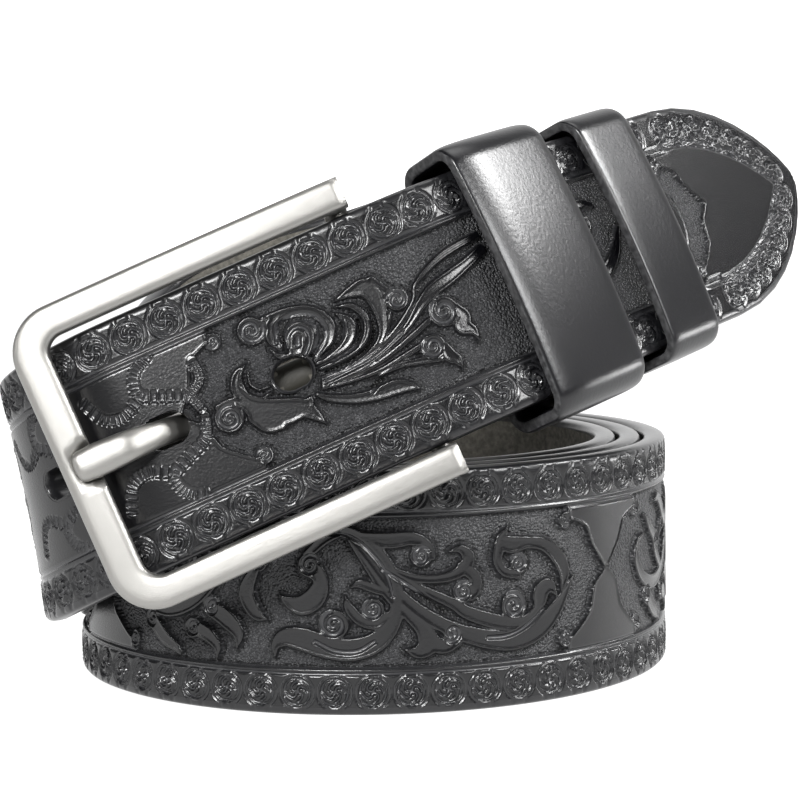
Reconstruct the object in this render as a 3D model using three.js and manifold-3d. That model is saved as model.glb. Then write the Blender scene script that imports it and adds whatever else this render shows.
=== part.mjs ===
// A western tooled leather belt, fastened through its own buckle and wound into a standing coil.
// One strap does the whole way: tip, buckle stretch, three turns of the coil, a rise inside the
// coil, a loop at the right, and a fold round the buckle's heel bar. Millimetres, +Z up.
import * as THREE from 'three';
import { mergeVertices } from 'three/addons/utils/BufferGeometryUtils.js';
import Module from 'manifold-3d';

// Strap
const STRAP_WIDTH = 38;
const STRAP_THICKNESS = 3.6;
const STRAP_EDGE_BEVEL = 0.8;
const TIP_TAPER = 31;
const TIP_ROUNDNESS = 0.7;
const STATION_STEP = 5;

// Buckle stretch: where its middle stands, and how it is turned (degrees)
const BUCKLE_X = -11.9;
const BUCKLE_Y = -52.8;
const BUCKLE_Z = 52.35;
const BUCKLE_SLOPE = 23;
const BUCKLE_YAW = 5.6;
const BUCKLE_RECLINE = 9.7;
const BACK_BEND_START = 20;
const BACK_BEND_RADIUS = 32;
const BACK_BEND_ANGLE = 44;
const LEFT_BEND_START = 19.5;
const LEFT_BEND_RADIUS = 25.3;
const LEFT_BEND_ANGLE = 90;
const LEFT_BEND_UNTWIST = 0.6;

// Coil
const COIL_RADIUS = 50.3;
const COIL_GAP = 0.6;
const COIL_STEP = 15;

// Holes for the prong, and where along the stretch the prong comes through the used one
const FIRST_HOLE_FROM_TIP = 122;
const HOLE_SPACING = 20.8;
const HOLE_COUNT = 5;
const HOLE_LENGTH = 6;
const HOLE_WIDTH = 4.7;
const USED_HOLE = 1;
const USED_HOLE_STRETCH = 1.4;
const PRONG_PLACE = -18.8;
const TIP_REACH = FIRST_HOLE_FROM_TIP + USED_HOLE * HOLE_SPACING + PRONG_PLACE;

// Fold round the heel bar
const FOLD_THICKNESS = 1.5;
const FOLD_SKIVE_START = 34;
const FOLD_SKIVE_LENGTH = 10;
const FOLD_RETURN = 30;
const FOLD_SLOT_LENGTH = 24;
const FOLD_SLOT_WIDTH = 7;
const LAYER_GAP = 0.4;
const SEAT_GAP = 0.3;

// Buckle
const FRAME_FRONT = 35.5;
const FRAME_HEEL = 20;
const FRAME_BAR_WIDTH = 5.5;
const FRAME_ARM_WIDTH = 4.9;
const FRAME_SIDE_GAP = 0.5;
const FRAME_HEIGHT = STRAP_WIDTH + 2 * (FRAME_SIDE_GAP + FRAME_ARM_WIDTH);
const FRAME_THICKNESS = 3.6;
const FRAME_DROP = 0.8;
const FRAME_BOW = 1.2;
const FRAME_BEVEL = 1.1;
const FRAME_OUTER_ROUND = 7.5;
const FRAME_INNER_ROUND = 2.8;
const HEEL_BAR_DIAMETER = 2.8;
const HEEL_BAR_INSET = 2;
const LUG_LENGTH = 3.6;
const LUG_FOOT_WIDTH = 1.2;
const NOTCH_RADIUS = 3.4;
const NOTCH_REACH = 3.6;
const NOTCH_DEPTH = 2.0;
const NOTCH_RUN = 6;

// Prong
const PRONG_WIDTH = 4.6;
const PRONG_THICKNESS = 3.0;
const PRONG_LOOP_WALL = 1.5;

// Keepers: each starts this far along the strap, counted from the buckle's middle
const WIDE_KEEPER = { start: 36.6, length: 21, thickness: 2.4, sideGap: 1.6, rise: 1.0, crown: 1.0 };
const NARROW_KEEPER = { start: 66.5, length: 13.5, thickness: 2.0, sideGap: 0.6, rise: 1.4, crown: 1.0 };
const KEEPER_ROUND = 4.6;
const KEEPER_INNER_ROUND = 1.5;
const LAYERS_PAST_KEEPER = 4;

const wasm = await Module();
wasm.setup();
const RAD = Math.PI / 180;
const vec = (x, y, z) => new THREE.Vector3(x, y, z);

// The buckle stretch's own directions: along the strap to the right, across it, and off its face
const origin = vec(BUCKLE_X, BUCKLE_Y, BUCKLE_Z);
const turn = new THREE.Matrix4()
  .makeRotationZ(BUCKLE_YAW * RAD)
  .multiply(new THREE.Matrix4().makeRotationY(-BUCKLE_SLOPE * RAD))
  .multiply(new THREE.Matrix4().makeRotationX(-BUCKLE_RECLINE * RAD));
const ALONG = vec(1, 0, 0).applyMatrix4(turn);
const ACROSS = vec(0, 0, 1).applyMatrix4(turn);
const OFF = vec(0, -1, 0).applyMatrix4(turn);

// A point of the stretch's bent centre line and the direction off its face, at s from the middle
function stretchAt(s) {
  const right = s > 0;
  const start = right ? BACK_BEND_START : LEFT_BEND_START;
  const radius = right ? BACK_BEND_RADIUS : LEFT_BEND_RADIUS;
  const limit = (right ? BACK_BEND_ANGLE : LEFT_BEND_ANGLE) * RAD;
  const sign = right ? 1 : -1;
  const past = Math.max(0, Math.abs(s) - start);
  const angle = Math.min(past / radius, limit);
  const straight = past - angle * radius;
  const reach = Math.min(Math.abs(s), start) + radius * Math.sin(angle) + straight * Math.cos(angle);
  const depth = radius * (1 - Math.cos(angle)) + straight * Math.sin(angle);
  return {
    point: origin.clone().addScaledVector(ALONG, sign * reach).addScaledVector(OFF, -depth),
    along: ALONG.clone().multiplyScalar(Math.cos(angle)).addScaledVector(OFF, -sign * Math.sin(angle)),
    off: OFF.clone().multiplyScalar(Math.cos(angle)).addScaledVector(ALONG, sign * Math.sin(angle)),
  };
}

// A place near the stretch: s along it, v across it, w off its face
function place(s, v, w) {
  const at = stretchAt(s);
  return at.point.clone().addScaledVector(ACROSS, v).addScaledVector(at.off, w);
}

// A point at an azimuth of the coil, clockwise from the front as seen from above
function coilPoint(azimuth, radius, height) {
  const angle = azimuth * RAD;
  return vec(-radius * Math.sin(angle), -radius * Math.cos(angle), height);
}

const coilPitch = STRAP_THICKNESS + COIL_GAP;
const coilRadius = (azimuth) => COIL_RADIUS - (coilPitch * azimuth) / 360;
const upright = vec(0, 0, 1);

// The strap from the left bend down to the coil: radius past the coil's own, height of the middle
// as shares of the drop from the bend to the floor turn, and lean as a share of the bend's lean
const LEFT_DESCENT = [
  { azimuth: -275, beyond: 2.6, height: 0.72, lean: 0.55 },
  { azimuth: -252, beyond: 1.4, height: 0.45, lean: 0.33 },
  { azimuth: -230, beyond: 0.5, height: 0.2, lean: 0.15 },
  { azimuth: -208, beyond: 0.1, height: 0.04, lean: 0.03 },
];

// The rise inside the coil: height of the middle as a share of the climb to the back of the coil
const RISE = [
  { azimuth: 735, height: 0.03 },
  { azimuth: 765, height: 0.17 },
  { azimuth: 795, height: 0.37 },
  { azimuth: 825, height: 0.58 },
  { azimuth: 850, height: 0.75 },
  { azimuth: 875, height: 0.89 },
];
const RISE_TOP = 57;
const RISE_INSET = 0.4;

// The loop at the right, from the back of the coil to the keepers: shares of the coil's radius,
// and height of the middle
const RIGHT_LOOP = [
  { x: 0.06, y: 0.76, height: 58 },
  { x: 0.33, y: 0.72, height: 62.5 },
  { x: 0.61, y: 0.61, height: 66.5 },
  { x: 0.84, y: 0.44, height: 69.5 },
  { x: 0.99, y: 0.23, height: 71.5 },
  { x: 1.03, y: 0.02, height: 72.3 },
];

// Stations of the strap's finished face, from the tip to the end of the fold
function strapStations() {
  const stations = [];
  const half = STRAP_WIDTH / 2;
  const add = (point, across, thickness = STRAP_THICKNESS, halfWidth = half) =>
    stations.push({ point, across: across.clone(), thickness, halfWidth });

  const taperShares = [0.995, 0.975, 0.93, 0.87, 0.78, 0.66, 0.52, 0.36, 0.18, 0];
  for (const share of taperShares) {
    const s = TIP_REACH - TIP_TAPER * (1 - share);
    add(place(s, 0, 0), ACROSS, STRAP_THICKNESS, half * (1 - share ** 2) ** TIP_ROUNDNESS);
  }
  const stretchEnd = LEFT_BEND_START + LEFT_BEND_RADIUS * LEFT_BEND_ANGLE * RAD;
  const stretchStart = TIP_REACH - TIP_TAPER;
  const steps = Math.ceil((stretchStart + stretchEnd) / STATION_STEP);
  for (let i = 1; i <= steps; i++) {
    const s = stretchStart - ((stretchStart + stretchEnd) * i) / steps;
    const bent = Math.max(0, (-s - LEFT_BEND_START) / (stretchEnd - LEFT_BEND_START));
    add(place(s, 0, 0), ACROSS.clone().lerp(upright, LEFT_BEND_UNTWIST * bent).normalize());
  }
  const last = stations[stations.length - 1];
  const lean = last.across.clone();
  const bendHeight = last.point.z;
  for (const row of LEFT_DESCENT) {
    const height = half + (bendHeight - half) * row.height;
    add(coilPoint(row.azimuth, coilRadius(row.azimuth) + row.beyond, height),
      upright.clone().lerp(lean, row.lean).normalize());
  }
  const riseStart = RISE[0].azimuth - 2 * COIL_STEP;
  for (let azimuth = -180; azimuth <= riseStart; azimuth += COIL_STEP) {
    add(coilPoint(azimuth, coilRadius(azimuth), half), upright);
  }
  for (const row of RISE) {
    add(coilPoint(row.azimuth, coilRadius(row.azimuth) - RISE_INSET, half + (RISE_TOP - half) * row.height),
      upright);
  }
  RIGHT_LOOP.forEach((row, i) => {
    const share = (i + 1) / (RIGHT_LOOP.length + 1);
    add(vec(row.x * COIL_RADIUS, row.y * COIL_RADIUS, row.height),
      upright.clone().lerp(ACROSS, share).normalize());
  });

  const underFace = -(STRAP_THICKNESS + LAYER_GAP);
  const underStart = NARROW_KEEPER.start + NARROW_KEEPER.length + LAYERS_PAST_KEEPER;
  for (let s = underStart; s > FOLD_SKIVE_START + 1; s -= STATION_STEP) {
    add(place(s, 0, underFace), ACROSS);
  }
  const skiveEnd = FOLD_SKIVE_START - FOLD_SKIVE_LENGTH;
  add(place(FOLD_SKIVE_START, 0, underFace), ACROSS);
  add(place(skiveEnd, 0, underFace), ACROSS, FOLD_THICKNESS);
  for (let angle = 0; angle <= 180; angle += 30) {
    const s = barPlace.s - foldRadius * Math.sin(angle * RAD);
    add(place(s, 0, barPlace.w + foldRadius * Math.cos(angle * RAD)), ACROSS, FOLD_THICKNESS);
  }
  for (const s of [FOLD_SKIVE_START - FOLD_SKIVE_LENGTH / 2, FOLD_SKIVE_START + 1, barPlace.s + FOLD_RETURN]) {
    add(place(s, 0, returnFace(s)), ACROSS, FOLD_THICKNESS);
  }
  return stations;
}

// The heel bar's middle, under the strap and its fold
const barPlace = {
  s: FRAME_HEEL - HEEL_BAR_INSET,
  w: -(STRAP_THICKNESS + LAYER_GAP + FOLD_THICKNESS + SEAT_GAP + HEEL_BAR_DIAMETER / 2),
};

const foldRadius = HEEL_BAR_DIAMETER / 2 + SEAT_GAP + FOLD_THICKNESS;

// The height of the folded end's outer face, from the heel bar to where it lies flat
function returnFace(s) {
  const flat = -(2 * STRAP_THICKNESS + LAYER_GAP + SEAT_GAP + FOLD_THICKNESS);
  const settled = Math.min(1, (s - barPlace.s) / (FOLD_SKIVE_START - barPlace.s));
  return barPlace.w - foldRadius + (flat - barPlace.w + foldRadius) * settled;
}

// Stations on one smooth curve, no further apart than the step. It dips under no pair of them.
function smoothStations(stations) {
  const gap = stations.slice(1).map((to, i) => to.point.distanceTo(stations[i].point));
  const slope = (i, value) => {
    const before = Math.max(i - 1, 0);
    const after = Math.min(i, gap.length - 1);
    const first = value(stations[before + 1]).clone().sub(value(stations[before])).divideScalar(gap[before]);
    const next = value(stations[after + 1]).clone().sub(value(stations[after])).divideScalar(gap[after]);
    return first.multiplyScalar(gap[after]).addScaledVector(next, gap[before])
      .divideScalar(gap[before] + gap[after]);
  };
  const curve = (i, share, value) => {
    const t2 = share * share;
    const t3 = t2 * share;
    return value(stations[i]).clone().multiplyScalar(2 * t3 - 3 * t2 + 1)
      .addScaledVector(slope(i, value), (t3 - 2 * t2 + share) * gap[i])
      .addScaledVector(value(stations[i + 1]), 3 * t2 - 2 * t3)
      .addScaledVector(slope(i + 1, value), (t3 - t2) * gap[i]);
  };
  const smooth = [stations[0]];
  gap.forEach((length, i) => {
    const parts = Math.ceil(length / STATION_STEP);
    for (let part = 1; part <= parts; part++) {
      const share = part / parts;
      const mix = (key) => stations[i][key] * (1 - share) + stations[i + 1][key] * share;
      const point = curve(i, share, (station) => station.point);
      point.z = Math.max(point.z, Math.min(stations[i].point.z, stations[i + 1].point.z));
      smooth.push({
        point,
        across: curve(i, share, (station) => station.across),
        thickness: mix('thickness'),
        halfWidth: mix('halfWidth'),
      });
    }
  });
  let length = 0;
  smooth.forEach((station, i) => {
    const before = smooth[Math.max(i - 1, 0)].point;
    const after = smooth[Math.min(i + 1, smooth.length - 1)].point;
    const heading = after.clone().sub(before).normalize();
    length += station.point.distanceTo(before);
    station.length = length;
    station.heading = heading;
    station.across.addScaledVector(heading, -station.across.dot(heading)).normalize();
    station.off = station.across.clone().cross(heading);
  });
  return smooth;
}

// Geometry from rows of points: each row a closed ring, the rows joined in order. The ends are
// closed by fans, or the last row is joined to the first.
function loft(rows, joined = false) {
  const positions = [];
  const indices = [];
  const count = rows[0].length;
  rows.flat().forEach((point) => positions.push(point.x, point.y, point.z));
  const bands = joined ? rows.length : rows.length - 1;
  for (let row = 0; row < bands; row++) {
    const next = (row + 1) % rows.length;
    for (let i = 0; i < count; i++) {
      const j = (i + 1) % count;
      const corner = [row * count + i, row * count + j, next * count + j, next * count + i];
      indices.push(corner[0], corner[1], corner[2], corner[0], corner[2], corner[3]);
    }
  }
  if (!joined) {
    const top = (rows.length - 1) * count;
    for (let i = 1; i < count - 1; i++) {
      indices.push(0, i + 1, i);
      indices.push(top, top + i, top + i + 1);
    }
  }
  const geometry = new THREE.BufferGeometry();
  geometry.setAttribute('position', new THREE.Float32BufferAttribute(positions, 3));
  geometry.setIndex(indices);
  return geometry;
}

// A closed geometry as a solid for cutting and joining, and back
function toSolid(geometry) {
  const bare = geometry.clone();
  bare.deleteAttribute('normal');
  bare.deleteAttribute('uv');
  const merged = mergeVertices(bare, 1e-4);
  return new wasm.Manifold(new wasm.Mesh({
    numProp: 3,
    vertProperties: new Float32Array(merged.attributes.position.array),
    triVerts: new Uint32Array(merged.index.array),
  }));
}

function toGeometry(solid) {
  const mesh = solid.getMesh();
  const geometry = new THREE.BufferGeometry();
  geometry.setAttribute('position', new THREE.BufferAttribute(new Float32Array(mesh.vertProperties), 3));
  geometry.setIndex(new THREE.BufferAttribute(new Uint32Array(mesh.triVerts), 1));
  return geometry;
}

// A rectangle with cut corners, as pairs of shares of direction one and two
function bevelledRing(low1, high1, low2, high2, bevel) {
  const cut = Math.min(bevel, (high1 - low1) / 2.2, (high2 - low2) / 2.2);
  return [
    [low1 + cut, low2], [high1 - cut, low2], [high1, low2 + cut], [high1, high2 - cut],
    [high1 - cut, high2], [low1 + cut, high2], [low1, high2 - cut], [low1, low2 + cut],
  ];
}

// A prism on an outline, from one height to another along its own axes
function prism(outline, centre, axis1, axis2, low, high) {
  const axis3 = axis1.clone().cross(axis2);
  const row = (height) => outline.map(([a, b]) => centre.clone().addScaledVector(axis1, a)
    .addScaledVector(axis2, b).addScaledVector(axis3, height));
  return loft([row(low), row(high)]);
}

function ovalOutline(length, width, points = 16) {
  const straight = Math.max(0, length - width) / 2;
  return Array.from({ length: points }, (unused, i) => {
    const angle = ((i + 0.5) / points) * 2 * Math.PI;
    const side = Math.cos(angle) > 0 ? straight : -straight;
    return [side + (width / 2) * Math.cos(angle), (width / 2) * Math.sin(angle)];
  });
}

function beltStrap() {
  const stations = smoothStations(strapStations());
  const rows = stations.map((station) => bevelledRing(
    -station.halfWidth, station.halfWidth, -station.thickness, 0, (STRAP_EDGE_BEVEL * station.thickness) / STRAP_THICKNESS,
  ).map(([v, w]) => station.point.clone().addScaledVector(station.across, -v)
    .addScaledVector(station.off, w)));
  let solid = toSolid(loft(rows));
  for (let hole = 0; hole < HOLE_COUNT; hole++) {
    const length = FIRST_HOLE_FROM_TIP + hole * HOLE_SPACING;
    const after = stations.findIndex((station) => station.length > length);
    const from = stations[after - 1];
    const to = stations[after];
    const share = (length - from.length) / (to.length - from.length);
    const centre = from.point.clone().lerp(to.point, share);
    const stretched = hole === USED_HOLE ? USED_HOLE_STRETCH : 0;
    const width = Math.max(HOLE_WIDTH, stretched > 0 ? PRONG_WIDTH + 2 * SEAT_GAP : 0);
    const outline = ovalOutline(HOLE_LENGTH + stretched, width);
    const cutter = prism(outline, centre, to.heading, to.across.clone().negate(),
      -2 * STRAP_THICKNESS, STRAP_THICKNESS);
    solid = solid.subtract(toSolid(cutter));
  }
  const slot = prism(ovalOutline(FOLD_SLOT_LENGTH, FOLD_SLOT_WIDTH), place(barPlace.s, 0, barPlace.w),
    ALONG, ACROSS, -5 * FOLD_THICKNESS, -barPlace.w - STRAP_THICKNESS - LAYER_GAP / 2);
  solid = solid.subtract(toSolid(slot));
  return toGeometry(solid);
}

// The frame's height off the strap's face at a place along it
function bowAt(s) {
  const middle = (FRAME_HEEL - FRAME_FRONT) / 2;
  const share = (s - middle) / ((FRAME_HEEL + FRAME_FRONT) / 2);
  return FRAME_BOW * (1 - share * share) - FRAME_DROP;
}

// The frame's outer and inner edges, from the end of one arm round the front bar to the other
function frameEdges() {
  const outerHalf = FRAME_HEIGHT / 2;
  const innerHalf = outerHalf - FRAME_ARM_WIDTH;
  const innerFront = FRAME_FRONT - FRAME_BAR_WIDTH;
  const corner = [0, 18, 36, 54, 72, 90];
  const armSteps = 5;
  const quarter = [];
  for (let i = 0; i < armSteps; i++) {
    const share = i / armSteps;
    quarter.push({
      outer: [FRAME_HEEL - (FRAME_HEEL + FRAME_FRONT - FRAME_OUTER_ROUND) * share, -outerHalf],
      inner: [FRAME_HEEL - (FRAME_HEEL + innerFront - FRAME_INNER_ROUND) * share, -innerHalf],
    });
  }
  for (const angle of corner) {
    const sin = Math.sin(angle * RAD);
    const cos = Math.cos(angle * RAD);
    quarter.push({
      outer: [-FRAME_FRONT + FRAME_OUTER_ROUND * (1 - sin), -outerHalf + FRAME_OUTER_ROUND * (1 - cos)],
      inner: [-innerFront + FRAME_INNER_ROUND * (1 - sin), -innerHalf + FRAME_INNER_ROUND * (1 - cos)],
    });
  }
  const mirror = quarter.toReversed().map(({ outer, inner }) => ({
    outer: [outer[0], -outer[1]],
    inner: [inner[0], -inner[1]],
  }));
  return [...quarter, ...mirror];
}

function buckleFrame() {
  const flat = (s, v, w) => origin.clone().addScaledVector(ALONG, s)
    .addScaledVector(ACROSS, v).addScaledVector(OFF, w);
  const rows = frameEdges().map(({ outer, inner }) => {
    const width = Math.hypot(outer[0] - inner[0], outer[1] - inner[1]);
    return bevelledRing(0, width, 0, FRAME_THICKNESS, FRAME_BEVEL).toReversed().map(([across, high]) => {
      const share = across / width;
      const s = outer[0] + (inner[0] - outer[0]) * share;
      const v = outer[1] + (inner[1] - outer[1]) * share;
      return flat(s, v, bowAt(s) + high);
    });
  });
  let solid = toSolid(loft(rows));

  const innerHalf = FRAME_HEIGHT / 2 - FRAME_ARM_WIDTH;
  const barRadius = HEEL_BAR_DIAMETER / 2;
  const bar = prism(ovalOutline(HEEL_BAR_DIAMETER, HEEL_BAR_DIAMETER, 12), flat(barPlace.s, 0, barPlace.w),
    OFF, ALONG, -innerHalf - LUG_FOOT_WIDTH / 2, innerHalf + LUG_FOOT_WIDTH / 2);
  solid = solid.add(toSolid(bar));
  const lugTop = bowAt(FRAME_HEEL) + FRAME_THICKNESS / 2;
  const lugFoot = barPlace.w - barRadius;
  for (const side of [-1, 1]) {
    const outline = [
      [innerHalf, lugFoot], [innerHalf + LUG_FOOT_WIDTH, lugFoot],
      [FRAME_HEIGHT / 2 - FRAME_BEVEL, lugTop], [innerHalf, lugTop],
    ];
    const row = (s) => outline.map(([v, w]) => flat(s, side * v, w));
    const ends = [row(FRAME_HEEL - LUG_LENGTH), row(FRAME_HEEL)];
    solid = solid.add(toSolid(loft(side > 0 ? ends : ends.toReversed())));
  }

  const innerFront = FRAME_FRONT - FRAME_BAR_WIDTH;
  const notchFloor = bowAt(-innerFront) + FRAME_THICKNESS - NOTCH_DEPTH;
  const notchMiddle = -innerFront - NOTCH_REACH + NOTCH_RADIUS;
  const notch = prism(ovalOutline(2 * NOTCH_RADIUS + NOTCH_RUN, 2 * NOTCH_RADIUS),
    flat(notchMiddle + NOTCH_RUN / 2, 0, 0),
    ALONG, ACROSS, notchFloor, FRAME_THICKNESS * 2);
  return toGeometry(solid.subtract(toSolid(notch)));
}

// The prong's centre line, from its loop on the heel bar to its tip in the notch: place along the
// stretch, height off the strap's face, and share of the full size
function prongPath() {
  const innerFront = FRAME_FRONT - FRAME_BAR_WIDTH;
  const notchFloor = bowAt(-innerFront) + FRAME_THICKNESS - NOTCH_DEPTH;
  const rest = notchFloor + SEAT_GAP + PRONG_THICKNESS / 2;
  const under = -STRAP_THICKNESS - LAYER_GAP - PRONG_THICKNESS / 2;
  return [
    { s: barPlace.s, w: barPlace.w, size: 1 },
    { s: barPlace.s - 6, w: (barPlace.w + under) / 2, size: 1 },
    { s: PRONG_PLACE + 9, w: under - 0.2, size: 1 },
    { s: PRONG_PLACE + 6, w: under - 0.1, size: 1 },
    { s: PRONG_PLACE + 3.3, w: under + 0.5, size: 0.94 },
    { s: PRONG_PLACE + 1.5, w: under + 1.9, size: 0.87 },
    { s: PRONG_PLACE - 1.5, w: 0, size: 0.87 },
    { s: PRONG_PLACE - 3.3, w: rest - 1.6, size: 0.95 },
    { s: PRONG_PLACE - 5.6, w: rest - 0.3, size: 1.02 },
    { s: PRONG_PLACE - 8, w: rest, size: 1.08 },
    { s: -innerFront + 0.4, w: rest, size: 1.12 },
    { s: -innerFront - NOTCH_REACH + 1.4, w: rest - 0.1, size: 1.05 },
    { s: -innerFront - NOTCH_REACH + SEAT_GAP, w: rest - 0.4, size: 0.55 },
  ];
}

function buckleProng() {
  const path = prongPath();
  const sides = 12;
  const rows = path.map(({ s, w, size }, i) => {
    const before = path[Math.max(i - 1, 0)];
    const after = path[Math.min(i + 1, path.length - 1)];
    const heading = ALONG.clone().multiplyScalar(after.s - before.s)
      .addScaledVector(OFF, after.w - before.w).normalize();
    const up = heading.clone().cross(ACROSS);
    const centre = origin.clone().addScaledVector(ALONG, s).addScaledVector(OFF, w);
    return Array.from({ length: sides }, (unused, k) => {
      const angle = ((k + 0.5) / sides) * 2 * Math.PI;
      const round = (value) => Math.sign(value) * Math.abs(value) ** 0.7;
      return centre.clone()
        .addScaledVector(ACROSS, round(Math.cos(angle)) * (PRONG_WIDTH / 2) * size)
        .addScaledVector(up, round(Math.sin(angle)) * (PRONG_THICKNESS / 2) * Math.min(size, 1));
    });
  });
  const loopRadius = HEEL_BAR_DIAMETER / 2 + SEAT_GAP + PRONG_LOOP_WALL;
  const centre = origin.clone().addScaledVector(ALONG, barPlace.s).addScaledVector(OFF, barPlace.w);
  const drum = (radius, half) => toSolid(prism(ovalOutline(2 * radius, 2 * radius, 16), centre,
    OFF, ALONG, -half, half));
  return toGeometry(toSolid(loft(rows)).add(drum(loopRadius, PRONG_WIDTH / 2))
    .subtract(drum(HEEL_BAR_DIAMETER / 2 + SEAT_GAP, PRONG_WIDTH)));
}

// A keeper: a leather band round the layers of strap, bent as they are
function keeper(size, layers) {
  const inner = { back: -layers - SEAT_GAP, front: size.rise, half: STRAP_WIDTH / 2 + size.sideGap };
  const ring = (grow, round) => {
    const half = inner.half + grow;
    const outline = [];
    for (const [signV, signW, first] of [[1, 1, 0], [-1, 1, 90], [-1, -1, 180], [1, -1, 270]]) {
      const edge = signW > 0 ? inner.front + grow : inner.back - grow;
      for (let angle = first; angle <= first + 90; angle += 30) {
        outline.push([
          signV * (half - round) + round * Math.cos(angle * RAD),
          edge - signW * round + round * Math.sin(angle * RAD),
        ]);
      }
    }
    return outline;
  };
  const crown = (v) => size.crown * Math.max(0, 1 - (v / inner.half) ** 2);
  const outer = ring(size.thickness, KEEPER_ROUND);
  const hollow = ring(0, KEEPER_INNER_ROUND);
  const steps = Math.ceil(size.length / STATION_STEP);
  const rows = (outline) => Array.from({ length: steps + 1 }, (unused, i) => {
    const s = size.start + (size.length * i) / steps;
    return outline.map(([v, w]) => place(s, v, w + (w > 0 ? crown(v) : 0)));
  });
  return loft([...rows(outer), ...rows(hollow).toReversed()], true);
}

const leather = { color: 0x17171a, roughness: 0.5, metalness: 0 };
const keeperLeather = { color: 0x1c1c20, roughness: 0.4, metalness: 0 };
const nickel = { color: 0xc9c7c2, roughness: 0.35, metalness: 1 };

const belt = new THREE.Group();

function addPiece(name, geometry, look) {
  geometry.computeVertexNormals();
  const mesh = new THREE.Mesh(geometry, new THREE.MeshStandardMaterial(look));
  mesh.name = name;
  belt.add(mesh);
}

const strapLayers = 2 * STRAP_THICKNESS + LAYER_GAP;
addPiece('belt_strap', beltStrap(), leather);
addPiece('buckle_frame', buckleFrame(), nickel);
addPiece('buckle_prong', buckleProng(), nickel);
addPiece('keeper_wide', keeper(WIDE_KEEPER, strapLayers + SEAT_GAP + FOLD_THICKNESS), keeperLeather);
addPiece('keeper_narrow', keeper(NARROW_KEEPER, strapLayers), keeperLeather);

// The belt stands on z = 0, with its box centred on the origin
const box = new THREE.Box3().setFromObject(belt);
belt.position.set(-(box.min.x + box.max.x) / 2, -(box.min.y + box.max.y) / 2, -box.min.z);

export default belt;
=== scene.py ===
"""Looks for the western tooled belt: tooled strap, keepers, nickel buckle, camera and light.

The strap's route is worked out as in the part's source, and its face is raised and pressed by a
height field drawn from strokes. Lengths in the tables are millimetres, apart from the fan's places,
which are pixels of a crop; Blender gets metres.
"""
import math

import bmesh
import bpy
import numpy as np
from mathutils import Matrix, Vector


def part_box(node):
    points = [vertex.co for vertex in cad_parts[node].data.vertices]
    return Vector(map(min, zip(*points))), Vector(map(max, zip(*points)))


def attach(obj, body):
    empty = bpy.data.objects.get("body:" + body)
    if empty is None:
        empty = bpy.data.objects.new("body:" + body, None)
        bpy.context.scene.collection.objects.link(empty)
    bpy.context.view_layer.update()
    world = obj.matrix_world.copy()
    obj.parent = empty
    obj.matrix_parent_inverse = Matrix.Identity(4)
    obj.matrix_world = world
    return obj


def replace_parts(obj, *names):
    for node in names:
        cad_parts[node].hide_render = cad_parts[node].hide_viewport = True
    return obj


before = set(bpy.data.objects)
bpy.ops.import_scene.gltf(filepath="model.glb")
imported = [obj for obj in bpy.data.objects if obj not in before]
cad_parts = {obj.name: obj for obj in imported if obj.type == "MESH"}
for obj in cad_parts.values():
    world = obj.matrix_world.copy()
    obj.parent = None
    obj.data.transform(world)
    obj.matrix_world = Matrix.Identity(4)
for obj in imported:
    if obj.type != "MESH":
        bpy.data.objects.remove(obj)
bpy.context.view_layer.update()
MM = 0.001
RAD = math.pi / 180

# Sizes of the strap and its route
WIDTH, THICK = 38.0, 3.6
TIP_TAPER, TIP_ROUND, TIP_REACH = 31.0, 0.7, 124.0
ORIGIN = np.array([-11.9, -52.8, 52.35])
SLOPE, YAW, RECLINE = 23.0, 5.6, 9.7
BACK_START, BACK_RADIUS, BACK_ANGLE = 20.0, 32.0, 44.0
LEFT_START, LEFT_RADIUS, LEFT_ANGLE, LEFT_UNTWIST = 19.5, 25.3, 90.0, 0.6
COIL_RADIUS, COIL_PITCH = 50.3, 4.2
FOLD_THICK, SKIVE_START, SKIVE_LENGTH, FOLD_RETURN = 1.5, 34.0, 10.0, 30.0
LAYER_GAP, SEAT_GAP = 0.4, 0.3
FRAME_FRONT, FRAME_HEEL, FRAME_HEIGHT = 35.5, 20.0, 48.8
FRAME_BAR, FRAME_ARM, FRAME_THICK = 5.5, 4.9, 3.6
FRAME_DROP, FRAME_BOW = 0.8, 1.2
OUTER_ROUND, INNER_ROUND = 7.5, 2.8
BAR_DIAMETER, BAR_INSET = 2.8, 2.0
WIDE_KEEPER = dict(start=36.6, length=21, thick=2.4, half_height=23, rise=1.0)
NARROW_KEEPER = dict(start=66.5, length=13.5, thick=2.0, half_height=21.6, rise=1.4)
LAYERS_PAST_KEEPER = 4
FIRST_HOLE, HOLE_SPACING, USED_HOLE = 2.0, 20.8, 1
HOLES = [dict(x=FIRST_HOLE - HOLE_SPACING * k, length=6.0, width=4.7) for k in range(5)]
HOLES[USED_HOLE].update(length=7.4, width=5.2)


def rotation(axis, degrees):
    return np.array(Matrix.Rotation(degrees * RAD, 3, axis))


TURN = rotation("Z", YAW) @ rotation("Y", -SLOPE) @ rotation("X", -RECLINE)
ALONG, ACROSS, OFF = TURN @ [1, 0, 0], TURN @ [0, 0, 1], TURN @ [0, -1, 0]
UP = np.array([0.0, 0.0, 1.0])
BAR_S = FRAME_HEEL - BAR_INSET
BAR_W = -(THICK + LAYER_GAP + FOLD_THICK + SEAT_GAP + BAR_DIAMETER / 2)


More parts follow.
